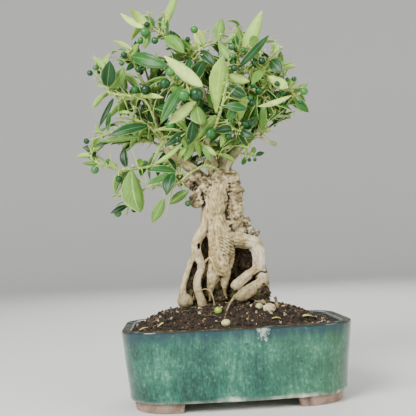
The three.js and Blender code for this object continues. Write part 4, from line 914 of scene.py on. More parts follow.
# Wrinkles 3 mm apart run from the belly into the arm, too fine for the mesh, so the material draws them as a
# bump with painted shade in their grooves
crease = np.exp(-(((x - 1) / 15) ** 4) - ((z - 142 + 0.44 * x) / 11) ** 4) * (y < 2)
wrinkle = (z + 0.44 * x + 1.6 * np.sin(x * 0.17 + 1) + 1.5 * fine) * 2 * math.pi / WRINKLE
for groove in BURL_LAYERS["z"]:
    layer = (z - groove - 1.1 * np.sin(x * 0.55 + groove) - 0.8 * np.sin(y * 0.6)) / BURL_LAYERS["half"]
    lift -= BURL_LAYERS["deep"] * np.exp(-(layer**2)) * np.clip((x + 1) / 3, 0, 1) * (gnarl > 0.3)
crack_z = CRACK["z"] + 1.2 * np.sin(x * 0.5 + 0.8) + 0.3 * (x - 28)
crack = np.exp(-(((z - crack_z) / CRACK["half"]) ** 2)) * (x > CRACK["x"][0]) * (x < CRACK["x"][1]) * (y < 4)
lift -= CRACK["deep"] * crack
skin.at = skin.at + skin.normals() * lift[:, None]
normals = skin.normals()
# Painted shade: how deep each point lies in a hollow or crease, and the crack, is kept to darken the bark there
hollow_near = np.sum((skin.smoothed(skin.at, 5) - skin.at) * normals, axis=1)
hollow_far = np.sum((skin.smoothed(skin.at, 60) - skin.at) * normals, axis=1)
crevice_shade = np.clip(hollow_near * 3.6 - 0.04, 0, 0.85) + np.clip(hollow_far * 0.4 - 0.1, 0, 0.9) + 0.7 * crack
ground = np.array([soil_height(px, py) for px, py in skin.at[:, :2]])
damp = np.clip(1 - (skin.at[:, 2] - ground) / 30, 0, 1)
skin.store()
marks = {
    "crevice_shade": skin.smoothed(crevice_shade, 1)[:, 0], "gnarl": gnarl, "young": young, "pale": pale, "damp": damp,
    "grain": fine, "crease": crease, "wrinkle": wrinkle,
}
for name, values in marks.items():
    mark = trunk.data.attributes.new(name, "FLOAT", "POINT")
    mark.data.foreach_set("value", np.ascontiguousarray(values))

bark, tree, shader = new_material("citrus_bark", Roughness=0.72)
where = add(tree, "TexCoord", out="Object")
read = {name: add(tree, "Attribute", attribute_name=name, out="Fac") for name in marks}
# Old citrus bark is dull and pale, mottled in patches of 6 mm, with lenticels and scars under 1 mm. It is
# knobbly and darker on the burls, bleached on the arm, green on the limbs and stained near the soil. Shade is
# painted dark brown into its hollows, creases, wrinkles and the crack.
mottle = add(tree, "TexNoise", {"Vector": where, "Scale": 150, "Detail": 5, "Roughness": 0.6})
specks = add(tree, "TexNoise", {"Vector": where, "Scale": 900, "Detail": 3, "Roughness": 0.7})
soft = add(tree, "MapRange", {"Value": mottle, "To Min": 0.19, "To Max": 0.84})
grained = add(tree, "Math", {0: read["grain"], 1: 0.34, 2: soft}, operation="MULTIPLY_ADD")
wrinkles = add(tree, "Math", {0: read["wrinkle"]}, operation="SINE")
wrinkles = add(tree, "MapRange", {"Value": wrinkles, "From Min": 0.35, "From Max": 1.0})
wrinkles = add(tree, "Math", {0: wrinkles, 1: read["crease"]}, operation="MULTIPLY")
body = add(
    tree, "ValToRGB", {"Fac": grained},
    stops=[(0.28, "#6d5a36"), (0.43, "#9b885a"), (0.54, "#bba878"), (0.70, "#dccfa4")],
)
old = add(tree, "ValToRGB", {"Fac": mottle}, stops=[(0.38, "#4a3a22"), (0.5, "#8f7e56"), (0.62, "#d6caa2")])
weathered = add(tree, "MapRange", {"Value": mottle, "From Min": 0.38, "From Max": 0.6, "To Min": 0.45})
weathered = add(tree, "Math", {0: weathered, 1: read["pale"]}, operation="MULTIPLY")
bleached = [(0.3, "#a3927a"), (0.44, "#cbbda5"), (0.6, "#dccfba")]
bleached = add(tree, "ValToRGB", {"Fac": grained}, stops=bleached)
green = [(0.34, "#566040"), (0.52, "#7d8a5c"), (0.68, "#a9ab84")]
green = add(tree, "ValToRGB", {"Fac": grained}, stops=green)
mossy = add(tree, "Math", {0: mottle, 1: 1.5, 2: -0.55}, operation="MULTIPLY_ADD")
mossy = add(tree, "Math", {0: mossy, 1: read["damp"]}, operation="MULTIPLY", use_clamp=True)
earthy = add(tree, "Math", {0: read["damp"], 1: 0.55}, operation="MULTIPLY")
# Painted shade: the bark is mixed towards dark brown in its hollows, creases, wrinkles and the crack
dark = add(tree, "Math", {0: read["crevice_shade"], 1: 1.15}, operation="MULTIPLY")
dark = add(tree, "Math", {0: wrinkles, 1: 0.6, 2: dark}, operation="MULTIPLY_ADD", use_clamp=True)
speck = add(tree, "MapRange", {"Value": specks, "From Min": 0.6, "From Max": 0.72, "To Max": 0.45})
for share, colour in (
    (read["gnarl"], old), (weathered, bleached), (read["young"], green), (mossy, "#55602f"),
    (earthy, "#85714c"), (dark, "#241810"), (speck, "#4c3d26"),
):
    body = add(tree, "Mix", {0: share, 6: body, 7: colour}, data_type="RGBA", out=2)
height = add(tree, "Math", {0: specks, 1: 0.35, 2: mottle}, operation="MULTIPLY_ADD")
height = add(tree, "Math", {0: wrinkles, 1: -0.7, 2: height}, operation="MULTIPLY_ADD")
finish(tree, shader, body, height, (0.75, 0.0014))
trunk.data.materials.clear()
trunk.data.materials.append(bark)
trunk.data.shade_smooth()
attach(trunk, "root")
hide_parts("trunk")

# What is left of the old root ball between the roots: clods of dark humus held by fine roots, and moss on the
# damp foot of the trunk. The clods are wedged in, the moss grows on the bark.
CLODS = [
    ((-37.5, 119, 3), (4.8, 4, 12)), ((-39.5, 100, 3), (7, 5, 12)), ((-24, 141, 6), (4.4, 4, 14)),
    ((-25, 104, 2), (5, 5, 12)), ((13, 103, 7), (9, 6, 13)), ((12.5, 128, 9), (10, 5.5, 15)),
    ((-12.5, 96, -1), (9, 7, 8)), ((4, 110, 7), (7, 5, 15)), ((-42.5, 110, 1), (4, 4, 9)),
    ((7, 134, 9), (5, 4.5, 11)), ((-24, 92, 4), (6, 5, 8)), ((28, 96.5, -9.5), (8, 6, 10.5)),
    ((-35, 131, 4), (3.2, 3, 7)), ((21, 112, 5), (6.5, 5, 8)), ((0.5, 97, 1), (6.5, 5, 8)),
]
CLOD_ROOTS = {"each": 5, "long": (5, 16), "radius": (0.2, 0.55)}
MOSS_TUFTS = 700

# Crumbling humus is near black and matt, with fibres of 2 mm and a green film in patches of 7 mm
humus, tree, shader = new_material("humus_and_fine_roots", Roughness=0.95)
where = add(tree, "TexCoord", out="Object")
bits = add(tree, "TexNoise", {"Vector": where, "Scale": 500, "Detail": 5, "Roughness": 0.75})
patches = add(tree, "TexNoise", {"Vector": where, "Scale": 150, "Detail": 3})
body = add(tree, "ValToRGB", {"Fac": bits}, stops=[(0.36, "#140d07"), (0.5, "#2f2114"), (0.66, "#6a5436")])
grown_over = add(tree, "MapRange", {"Value": patches, "From Min": 0.52, "From Max": 0.62, "To Max": 0.7})
body = add(tree, "Mix", {0: grown_over, 6: body, 7: "#56592c"}, data_type="RGBA", out=2)
finish(tree, shader, body, bits, (0.9, 0.0012))

bm = bmesh.new()
luck = random.Random(8)
strokes = []
for at, half in CLODS:
    middle, half = seen(*at), Vector(half)
    for v in lump(bm, 5, middle, half):
        here = (v.co - MIDDLE) / MM
        v.co += noise.noise_vector(here * 0.3) * 2.6 * MM + noise.noise_vector(here * 0.9) * 1.1 * MM
    for _ in range(CLOD_ROOTS["each"]):
        turn, high = luck.uniform(0, 6.3), luck.uniform(-0.9, 0.9)
        rim = math.sqrt(1 - high * high)
        off = Vector((math.cos(turn) * rim * half.x, math.sin(turn) * rim * half.y, high * half.z))
        aim = (luck.gauss(0, 0.6), 0, -1)
        way = wander(luck, middle + off * 0.95, aim, luck.uniform(*CLOD_ROOTS["long"]), 6, 0.35)
        radius = luck.uniform(*CLOD_ROOTS["radius"])
        strokes.append((way, [radius] * 6 + [radius * 0.4]))
clods = piece("root_ball_clods", tidied(bm), humus)
bm = bmesh.new()
add_tubes(bm, strokes, 4)
fine_roots = piece("root_ball_fine_roots", tidied(bm), dead_root)

# Moss is matt, brown below and yellow-green on its tips
moss_green, tree, shader = new_material("moss", Roughness=0.95)
body = toned(tree, [(0.0, "#4a4424"), (0.4, "#5d6530"), (0.75, "#7d8a3e"), (1.0, "#a5a85c")])
finish(tree, shader, body)
weight = np.clip(damp * 1.4 - 0.35, 0, 1) * (0.15 + crevice_shade) * (skin.at[:, 2] > ground - 1)
chosen = np.random.default_rng(5).choice(len(weight), MOSS_TUFTS, replace=False, p=weight / weight.sum())
places = []
for i in chosen:
    size = luck.uniform(0.3, 0.8)
    half = (size * luck.uniform(0.8, 1.4), size * luck.uniform(0.8, 1.2), size * luck.uniform(0.6, 1.1))
    places.append((skin.at[i] - normals[i] * 0.15 * size, half, any_turn(luck), luck.random()))
moss = piece("moss", pebbles(places), moss_green)

# The leafy stems: green shoots of the last two years with narrow leathery leaves, thorns, buds and small
# unripe fruits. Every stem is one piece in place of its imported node. The leaves, fruits and thorns of the
# node are found on it again and given their real shape, and smaller ones fill the crown behind them.
def upper(at, tip, wide, tone=None, **more):
    """A leaf that shows its glossy side, from where it leaves the twig to its tip, both as seen."""
    return {"at": at, "tip": tip, "wide": wide, "tone": tone, **more}


def underside(at, tip, wide, tone=None, **more):
    return upper(at, tip, wide, tone, under=True, **more)


# "more" leaves and "berries" fruits grow by rule. A fruit is its middle and radius, a thorn its root and tip.
PLAIN_STEM = {
    "thick": (1.5, 0.9), "more": 6, "berries": 1, "leaves": [], "slender": [], "fruits": [], "thorns": [],
}
STEMS = {
    "top_left": {
        "seed": 11, "thick": (1.6, 1), "more": 4, "berries": 0,
        "twig": [(-38, 333, -1), (-46, 341, -4), (-55, 352, -6), (-64, 358.5, -9), (-71, 361, -11)],
        "leaves": [
            underside((-56, 356, -6), (-37.5, 397, 4), 8.5),
            underside((-66, 360, -9), (-86, 379.5, -16), 9, arch=0.24),
            underside((-73, 360, -10), (-95, 374.5, -2), 7, 1),
            upper((-53, 352, -6), (-35, 334, -20), 12.5, 0.82),
            underside((-67, 358, -10), (-74, 339, -22), 6.5),
        ],
        "fruits": [
            (-70, 363, -14, 2.8), (-72, 355.5, -15, 4.7), (-76.5, 347.5, -15, 3.2), (-63, 347, -14, 3.4),
        ],
        "thorns": [((-57, 356, -7), (-60.5, 371, -8))],
    },
    "left_high": {
        "seed": 29, "thick": (1.7, 1), "more": 5,
        "twig": [(-66, 268, 0), (-70, 288, 1), (-78, 310, -1), (-86, 327, -4), (-92, 337, -6)],
        "leaves": [
            underside((-85, 339, -9), (-104, 348.5, -14), 4.5),
            upper((-86, 332, -9), (-51, 321, -28), 13.5, 0.6), upper((-84, 326, -5), (-93, 318, -20), 6),
            underside((-88, 331, -6), (-79, 345, -12), 6.5),
        ],
        "fruits": [(-80, 319.5, -13, 3.4), (-93.5, 334, -12, 3.1), (-96, 326, -9, 2.6)],
        "thorns": [((-89, 333, -5), (-101, 330, -8))],
    },
    "far_left_high": {
        "seed": 37, "thick": (1.7, 1), "more": 4, "berries": 0,
        "twig": [
            (-64, 260, 3), (-68, 274, -8), (-76, 289, -13), (-94, 294.5, -13), (-108, 297, -12),
            (-113, 307, -10), (-112, 319, -9),
        ],
        "leaves": [
            upper((-112, 302, -12), (-107.5, 329, -22), 15, 0.25),
            underside((-108, 302, -11), (-93.5, 322, -20), 11),
            underside((-112, 321, -9), (-124, 333.5, -7), 6),
            underside((-112, 300, -12), (-126, 283, -17), 5.5),
            upper((-104, 294, -12), (-120.5, 264, -14), 5.5),
        ],
        "slender": [underside((-92, 294.5, -16), (-57, 290.5, -26), 5.6, 0.95)],
        "fruits": [
            (-127, 317.5, -12, 2.9), (-121.5, 322.5, -13, 2.6), (-74, 299, -20, 4.9),
            (-84, 299.5, -19, 3.8),
        ],
        "thorns": [((-114, 302, -11), (-122, 305, -12)), ((-97, 294, -12), (-90, 274, -14))],
    },
    "left_middle": {
        "seed": 41, "thick": (1.6, 0.9), "more": 4, "berries": 0,
        "twig": [
            (-60, 249, 5), (-70, 261, -4), (-82, 269, -8), (-94, 266, -10), (-104, 261, -11),
            (-114, 256.5, -12),
        ],
        "leaves": [
            upper((-74, 264, -16), (-112, 256, -24), 10, 0.45),
            underside((-82, 254, -16), (-122.5, 250.5, -22), 5),
            upper((-100, 253, -11), (-127, 245.5, -16), 5),
            underside((-117, 256, -12), (-124, 268, -10), 4.5),
            upper((-113, 258, -11), (-109, 279, -6), 5),
        ],
        "fruits": [(-133, 251.5, -13, 2.8), (-51, 263.5, -22, 5.2)],
        "thorns": [((-112, 258, -12), (-128, 262, -12)), ((-72, 262, -8), (-74, 250, -16))],
    },
    "far_left_low": {
        "seed": 53, "thick": (1.7, 0.9), "more": 4, "berries": 0,
        "twig": [
            (-43, 228, 4), (-54, 223.5, -5), (-70, 224.5, -10), (-86, 223, -13), (-103, 222.5, -14),
            (-117, 227.5, -14), (-128.5, 234, -13), (-128, 242, -12),
        ],
        "leaves": [
            upper((-94, 223, -14), (-98, 244, -12), 8.5),
            underside((-129, 236.5, -12), (-143, 237, -9), 5),
            underside((-120, 229, -14), (-138, 230, -13), 5),
            underside((-91, 222, -15), (-86.3, 178.5, -30), 21, 0.35, arch=0.1),
            upper((-86, 223, -13), (-81, 232, -4), 7, 0.85),
            underside((-104, 222, -14), (-112, 231.5, -24), 5),
        ],
        "slender": [
            underside((-73, 224.5, -10), (-38.5, 247, -24), 4.5, 0.8),
            underside((-74, 224.5, -10), (-59, 249, -20), 3.2, 0.7),
        ],
        "fruits": [(-126.2, 223.5, -15, 3.9), (-103.6, 213.5, -17, 3.3), (-113, 231, -14, 2.4)],
        "thorns": [
            ((-109.5, 225, -14), (-110.5, 244, -12)), ((-83.5, 224, -13), (-91.5, 246, -16)),
            ((-128, 240, -12), (-131, 249, -12)),
        ],
    },
    "low_left": {
        "seed": 67, "thick": (1.6, 0.9), "more": 3,
        "twig": [
            (-5, 213, -6), (-9, 219, -13), (-20, 223, -15), (-34, 217, -18), (-46, 208, -19),
            (-60, 204.5, -19), (-76, 205, -17), (-90, 193, -12), (-98, 186, -12),
        ],
        "leaves": [
            upper((-51, 217, -22), (-58.8, 197, -32), 12, 0.35),
            upper((-54, 216, -20), (-77, 207.5, -26), 6.5, 0.75),
            underside((-37, 199.5, -20), (-57, 187, -26), 9),
            underside((-61, 193, -22), (-73.8, 170, -26), 10, arch=0.22),
            upper((-97, 188, -13), (-113, 181, -17), 6),
        ],
        "fruits": [(-106, 180.5, -16, 3.5), (-38.5, 187, -12, 3), (-90.5, 183, -14, 2.4)],
        "thorns": [((-50, 205, -19), (-62.5, 168, -20)), ((-21, 223, -16), (-18, 231, -20))],
    },
    "front_left": {
        "seed": 71, "thick": (1.5, 1), "more": 3, "berries": 0,
        "twig": [(-24, 266, -36), (-27, 278, -40), (-31, 292, -40), (-35, 306, -40), (-40, 315, -38)],
        "leaves": [
            upper((-34, 307, -42), (-61, 265, -50), 10, 0.62),
            underside((-19, 300, -50), (-54.5, 331.5, -50), 12.5, 1),
            underside((-26, 286, -42), (-53, 265, -48), 10.5),
            underside((-25, 281, -42), (-22, 263, -54), 14),
            upper((-31, 296, -38), (-16, 326, -17), 12, 0.3),
        ],
        "fruits": [
            (-25.2, 292.6, -50, 6.6), (-37.5, 292, -48, 5.2), (-49, 315.5, -42, 4.3),
            (-55, 304.5, -40, 4.8), (-43, 309, -42, 2.4),
        ],
    },
    "front_middle": {
        "seed": 83, "thick": (1.6, 1), "more": 3, "berries": 0,
        "twig": [
            (-17, 246, -22), (-8, 262, -32), (-1, 280, -36), (4, 298, -36), (6, 314, -33), (8, 326, -28),
        ],
        "leaves": [
            underside((-7, 274, -38), (1.5, 329, -40), 17.5, 0.8, blunt=1.4),
            underside((8, 327, -28), (-1, 343, -22), 9), upper((4, 300, -36), (24, 289, -44), 12, 0.25),
            upper((-1, 281, -37), (24, 276, -40), 9, 0.5), underside((6, 312, -33), (27, 303, -28), 10),
        ],
        "fruits": [(13, 317, -34, 3.4), (27, 287, -34, 2.8), (28.5, 282, -34, 3.1), (11.5, 329, -30, 3)],
        "thorns": [((-1, 283, -36), (14, 299, -42))],
    },
    "top_middle": {
        "seed": 97, "thick": (1.5, 1), "more": 4, "berries": 0,
        "twig": [(-29, 320, 2), (-27, 331, -4), (-15, 339.5, -7), (-4, 342.5, -8), (5, 341, -8)],
        "leaves": [
            underside((-3, 342, -8), (3.5, 366, -5), 12, 0.4),
            underside((-14, 339, -8), (-22.5, 358, -3), 11.5),
            underside((5, 341, -8), (19.7, 355, -10), 4.5), upper((-20, 335, -7), (-5, 320, -22), 10, 0.3),
            underside((-24, 334, -6), (-39, 348, -10), 5),
        ],
        "fruits": [(-24, 356.5, -13, 3.8), (11.5, 338, -14, 3.3), (-31, 347, -9, 2.6)],
        "thorns": [((-10, 341, -8), (-8, 354, -12))],
    },
    "right_top": {
        "seed": 101, "thick": (1.4, 0.9), "more": 4,
        "twig": [(16.5, 316, 4), (17, 326, -2), (21, 333, -6), (30, 338, -6)],
        "leaves": [
            underside((17, 330, -4), (43, 373, 0), 14, 0.85),
            upper((17, 317, -16), (49, 348.5, -20), 8, 0.4), upper((28, 337, -6), (37.5, 348, 6), 9),
            upper((19, 331, -5), (13, 351, 10), 8),
        ],
        "fruits": [(22.5, 334.5, -14, 2.9), (33, 321, -16, 3)],
        "thorns": [((24, 335, -6), (30, 343, -16))],
    },
    "right_upper": {
        "seed": 113, "thick": (1.4, 0.9), "more": 3, "berries": 0,
        "twig": [(49, 291, 4), (45, 302, -2), (42, 314, -6), (47, 323, -8), (54, 329, -8)],
        "leaves": [
            underside((51, 328, -8), (59.5, 338, -6), 4.5), upper((47, 325, -9), (60, 311, -20), 13, 0.3),
            underside((42, 309, -6), (65, 295, -24), 11), underside((44, 318, -7), (70, 320, -4), 5),
            underside((43, 312, -5), (74, 317, 4), 6.5), upper((42, 315, -6), (29, 300, -18), 8.5),
        ],
        "fruits": [(40.5, 323, -17, 3.6), (36, 293.5, -16, 3.9), (54, 300, -12, 2.6)],
        "thorns": [((43, 316, -6), (33, 322, -12))],
    },
    "far_right": {
        "seed": 127, "thick": (1.3, 0.9), "more": 4,
        "twig": [(55, 299, 3), (61, 295, 0), (67, 291, -3), (72, 286, -5)],
        "leaves": [
            underside((67, 292, -3), (85, 299, -1), 6), underside((68, 288, -5), (33, 277.5, -16), 5.5),
            upper((70, 287, -4), (83.5, 270.5, -2), 8.5, 0.7), upper((60, 295, 0), (72, 304.5, 16), 7),
        ],
        "fruits": [(80, 291.5, -6, 3.9), (64.5, 303.5, -4, 2.3), (71, 304, -5, 2.5), (76, 281, -6, 2.2)],
        "thorns": [((66, 292, -3), (78, 306, -4))],
    },
    "right_low": {
        "seed": 131, "thick": (1, 0.7), "more": 0, "berries": 0,
        "twig": [(11, 235, -3), (17, 233, -7), (24, 231.5, -9), (30, 229, -9)],
        "leaves": [
            underside((25, 231, -9), (29, 239, -16), 5), upper((28, 230, -9), (38, 233, -8), 4.5),
            upper((20, 232, -8), (16, 222, 2), 5),
        ],
        "fruits": [(23, 226.5, -10, 1.9), (28.5, 226.5, -11, 1.8)],
    },
    "middle_low": {
        "seed": 139, "more": 3,
        "twig": [(-16, 238, -14), (-22, 244, -24), (-30, 250, -30), (-36, 258, -34)],
        "leaves": [
            underside((-31, 246, -30), (-7, 272, -48), 8, arch=0.2),
            upper((-35, 244, -32), (-29.5, 268, -40), 9.5, 0.3),
            underside((-22, 244, -24), (-9, 232, -36), 5), upper((-36, 258, -34), (-58, 243, -40), 8),
            underside((-30, 250, -30), (-40, 228, -30), 7.5),
        ],
        "slender": [
            underside((-34, 237, -24), (-47, 256, -34), 5, 0.5),
            upper((-22, 244, -26), (-14, 226, -28), 4.4, 0.8),
        ],
        "fruits": [(-13.5, 254, -40, 4.8), (-45, 250, -40, 3.6)],
        "thorns": [((-20, 243, -22), (-10, 235, -28))],
    },
    "middle_right_low": {
        "seed": 149, "thick": (1.4, 0.9), "more": 3,
        "twig": [(23, 246, -3), (18, 254, -16), (8, 258, -26), (2, 266, -30)],
        "leaves": [
            upper((14, 256, -20), (29, 248, -30), 8, 0.2), upper((10, 257, -24), (-9, 256, -34), 8.5, 0.2),
            upper((2, 265, -30), (16, 282, -36), 8), upper((17, 254, -17), (34, 268, -24), 8.5, 0.3),
            underside((5, 261, -28), (-4, 240, -32), 7),
        ],
        "fruits": [(21, 262, -26, 3.6), (4, 250, -32, 3.2)],
        "thorns": [((16, 255, -18), (24, 240, -22))],
    },
    "inner_left": {
        "seed": 151,
        "twig": [(-19, 296, 4), (-30, 302, -6), (-44, 304, -12), (-57, 300, -15)],
        "thorns": [((-44, 304, -12), (-50, 316, -18))],
    },
    "inner_right": {
        "seed": 157, "thick": (1.4, 0.9),
        "twig": [(14, 294, 10), (26, 296, 0), (38, 288, -6), (48, 278, -8)],
        "thorns": [((36, 289, -6), (32, 302, -12))],
    },
    "back_low_right": {
        "seed": 163,
        "twig": [(0, 243, 37), (10, 250, 42), (24, 256, 42), (38, 264, 38)],
    },
    "back_middle": {
        "seed": 167, "more": 7,
        "twig": [(3.5, 258, 49), (6, 274, 56), (2, 291, 56), (-4, 304, 50)],
    },
    "back_low_left": {
        "seed": 173, "more": 7,
        "twig": [(-44, 236, 22), (-52, 241, 34), (-58, 240, 46), (-70, 236, 50)],
    },
    "back_left": {
        "seed": 179, "more": 7,
        "twig": [(-64, 268, 46), (-74, 280, 50), (-88, 288, 46), (-102, 288, 38)],
    },
    "back_left_high": {
        "seed": 181, "thick": (1.6, 0.9), "more": 7,
        "twig": [(-64.5, 264, 2), (-66, 282, 15), (-70, 304, 24), (-75, 326, 27)],
    },
    "back_top": {
        "seed": 191,
        "twig": [(-21, 303, 4), (-20, 318, 18), (-26, 334, 24), (-36, 348, 22)],
    },
    "back_right_high": {
        "seed": 193, "thick": (1.4, 0.9),
        "twig": [(15.5, 305, 7), (22, 318, 20), (22, 332, 26), (14, 342, 26)],
    },
    "back_right": {
        "seed": 197, "thick": (1.4, 0.9),
        "twig": [(47, 288, 4), (48, 293, 18), (54, 300, 32), (52, 310, 38)],
    },
    "back_inner": {
        "seed": 199, "more": 7,
        "twig": [(-15, 275, 6), (-16, 284, 22), (-24, 294, 36), (-32, 306, 42)],
    },
    "left_back_low": {
        "seed": 211,
        "twig": [(-55, 240, 6), (-68, 247, 18), (-87, 251, 26), (-103, 247, 28)],
    },
}
CROWN = [
    (-60, 380), (-96, 378), (-82, 352), (-106, 350), (-126, 336), (-131, 314), (-119, 298), (-129, 280),
    (-110, 278), (-124, 262), (-138, 252), (-144, 236), (-128, 218), (-108, 212), (-115, 180), (-84, 176),
    (-60, 180), (-46, 192), (-36, 204), (-20, 216), (0, 220), (14, 226), (30, 232), (38, 250), (52, 258),
    (70, 262), (86, 268), (76, 282), (86, 298), (72, 306), (76, 320), (62, 328), (58, 342), (44, 366),
    (22, 358), (6, 368), (-8, 356), (-24, 362), (-38, 352), (-40, 384),
]
WINDOWS = [
    ((-110, 237), (9, 9)), ((-74, 240), (12, 8)), ((-77, 215), (9, 4.5)), ((-87, 314), (10, 4)),
    ((-70, 314), (5, 6)), ((-61, 340), (6, 4)), ((-108, 287), (6, 4)), ((-106, 268), (8, 4)),
    ((-66, 186), (22, 8)),
]
TWIG_END = 0.96
LEAF_THICK = 0.45
ON_NODE = 0.25
# The share of a leaf without a stalk of its own that is bare at its foot
BARE_FOOT = 0.1
CALYX = {"at": 0.93, "low": 0.24, "top": 0.42, "high": 0.16, "notch": 0.62}
SMALL_LEAF = {"long": (19, 35), "slim": (0.22, 0.34), "arch": (0.03, 0.14), "fold": (0.1, 0.45)}
SMALL_THORN = (6, 13)
BUD = {"stalk": (2, 5.5), "radius": (0.6, 1.1)}
# From front to back, in millimetres from the middle
DEPTHS = {"leaf": (-42, 66), "thorn": (-60, 66), "shoot": (-34, 60)}


def random_draws(seed):
    """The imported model's own row of random numbers, so that its growth by rule can be followed."""
    state = seed
    mask = 0xFFFFFFFF

    def draw():
        nonlocal state
        state = (state + 0x6D2B79F5) & mask
        word = ((state ^ (state >> 15)) * (1 | state)) & mask
        word = ((word + (((word ^ (word >> 7)) * (61 | word)) & mask)) & mask) ^ word
        return (word ^ (word >> 14)) / 4294967296

    return draw


def nearest_on(at, point):
    ways = [at(0.1)] + [at(TWIG_END * i / 40) for i in range(4, 41)]
    return min(ways, key=lambda way: (way - point).length)


def growths(spec):
    """What grows from one twig: each item lists its tries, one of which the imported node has."""
    draw = random_draws(spec["seed"])
    at = smooth_way([seen(*point) for point in spec["twig"]])

    def shown_leaf(leaf):
        roll = (draw() - 0.5) * 0.9
        fold = 0.12 + 0.25 * draw()
        tries = []
        for push in (0, -4, 4, -8, 8, -12):
            (bx, bz, by), (tx, tz, ty) = leaf["at"], leaf["tip"]
            base, tip = seen(bx, bz, by + push / 2), seen(tx, tz, ty + push)
            stalk = nearest_on(at, base)
            facing = (EYE - base).normalized() * (-1 if leaf.get("under") else 1)
            facing.rotate(Quaternion((tip - base).normalized(), roll))
            joined = (stalk - base).length > 3
            tries.append({
                "kind": "leaf", "stalk": stalk if joined else None, "base": base if joined else stalk,
                "tip": tip, "wide": leaf["wide"] / math.cos(roll), "facing": facing, "fold": fold,
                "arch": leaf.get("arch", 0.1), "mark": tip, "tone": leaf["tone"], "blunt": leaf.get("blunt"),
            })
        return tries

    items = [shown_leaf(leaf) for leaf in spec["leaves"]]
    for x, z, y, radius in spec["fruits"]:
        tries = []
        for push in (0, -3, 3, -6, 6, -9):
            middle = seen(x, z, y + push)
            stalk = nearest_on(at, middle)
            mark = middle + (middle - stalk).normalized() * radius
            tries.append({"kind": "fruit", "at": middle, "radius": radius, "stalk": stalk, "mark": mark})
        items.append(tries)
    for root, (x, z, y) in spec["thorns"]:
        base = nearest_on(at, seen(*root))
        tips = [seen(x, z, y + push) for push in (0, -4, 4)]
        items.append([{"kind": "thorn", "at": base, "tip": tip, "mark": tip} for tip in tips])
    for i in range(spec["more"] + spec["berries"]):
        t = min(0.3 + 0.7 * (i + 0.6 * draw()) / max(spec["more"], 1), TWIG_END)
        turn = i * 2.4 + draw()
        pitch, length, slim = 0.6 + 0.6 * draw(), 25 + 14 * draw(), 0.3 + 0.12 * draw()
        droop, tilt, fold = 0.25 * draw(), (draw() - 0.5) * 1.4, 0.1 + 0.25 * draw()
        by_rule = i < spec["more"]
        here = t if by_rule else 0.35 + 2.4 * droop
        base = at(here)
        along = (at(min(here + 0.0001, 1)) - at(here - 0.0001)).normalized()
        side = Vector((0, 0, 1)).cross(along).normalized()
        top = along.cross(side)
        tries = []
        for k, swing in enumerate((0, 1.3, -1.3, 2.6, 3.7, 0.6)):
            away = side * math.cos(turn + swing) + top * math.sin(turn + swing)
            if not by_rule:
                radius = 2.8 + 8 * slim * droop
                middle = base + away * (radius + 2.4)
                mark = middle + away * radius
                tries.append({"kind": "fruit", "at": middle, "radius": radius, "stalk": base, "mark": mark})
                continue
            reach = length * (1 if k < 4 else 0.75)
            aim = along * math.cos(pitch) + away * math.sin(pitch)
            aim.z -= droop
            aim.normalize()
            facing = Vector((0, 0, 1)) + away * 0.3
            facing.rotate(Quaternion(aim, tilt))
            tip = base + aim * reach
            tries.append({
                "kind": "leaf", "stalk": None, "base": base, "tip": tip, "wide": reach * slim,
                "facing": facing, "arch": 0.08 + 0.3 * droop, "fold": fold, "mark": tip, "rule": True,
            })
        items.append(tries)
    return items + [shown_leaf(leaf) for leaf in spec["slender"]]


def kept_on(node, items):
    """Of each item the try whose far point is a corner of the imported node, or else a shown item's first."""
    mesh = node.data
    corners = kdtree.KDTree(len(mesh.vertices))
    for i, v in enumerate(mesh.vertices):
        corners.insert((node.matrix_world @ v.co - MIDDLE) / MM, i)
    corners.balance()
    kept = []
    for tries in items:
        found = next((item for item in tries if corners.find(item["mark"])[2] < ON_NODE), None)
        if found or not tries[0].get("rule"):
            kept.append(found or tries[0])
    return kept


def as_seen(point):
    """Where the photograph's eye sees a point on the plane of the pot's middle: seen() the other way."""
    reach = EYE.y / (EYE.y - point.y)
    return EYE.x + (point.x - EYE.x) * reach, EYE.z + (point.z - EYE.z) * reach


def hides_one(leaf):
    """Whether a leaf that grew by rule would stand in front of one that the photograph shows."""
    for u in (0.25, 0.5, 0.75, 1):
        point = leaf["base"].lerp(leaf["tip"], u)
        x, z = as_seen(point)
        for other in shown_leaves:
            (x0, z0), (x1, z1) = as_seen(other["base"]), as_seen(other["tip"])
            long_x, long_z = x1 - x0, z1 - z0
            t = ((x - x0) * long_x + (z - z0) * long_z) / (long_x**2 + long_z**2)
            t = min(max(t, 0.05), 0.95)
            gap = math.hypot(x - x0 - long_x * t, z - z0 - long_z * t)
            arched = other["arch"] * (other["tip"] - other["base"]).length * 4 * t * (1 - t)
            behind = other["base"].lerp(other["tip"], t).y + other["facing"].normalized().y * arched
            if gap < 0.5 * other["wide"] + 0.35 * leaf["wide"] and point.y < behind + 3:
                return True
    return False


def inside_crown(point):
    x, z = as_seen(point)
    inside = False
    for (x0, z0), (x1, z1) in zip(CROWN, CROWN[1:] + CROWN[:1]):
        if (z0 > z) != (z1 > z) and x < x0 + (x1 - x0) * (z - z0) / (z1 - z0):
            inside = not inside
    off = [math.hypot((x - at[0]) / half[0], (z - at[1]) / half[1]) for at, half in WINDOWS]
    return inside and min(off) >= 1


bm = bmesh.new()
bm.loops.layers.uv.new("blade")
bmesh.ops.create_grid(bm, x_segments=7, y_segments=4, size=0.5, calc_uvs=True)
blade_mesh = bpy.data.meshes.new("flat_blade")
bm.to_mesh(blade_mesh)
bm.free()


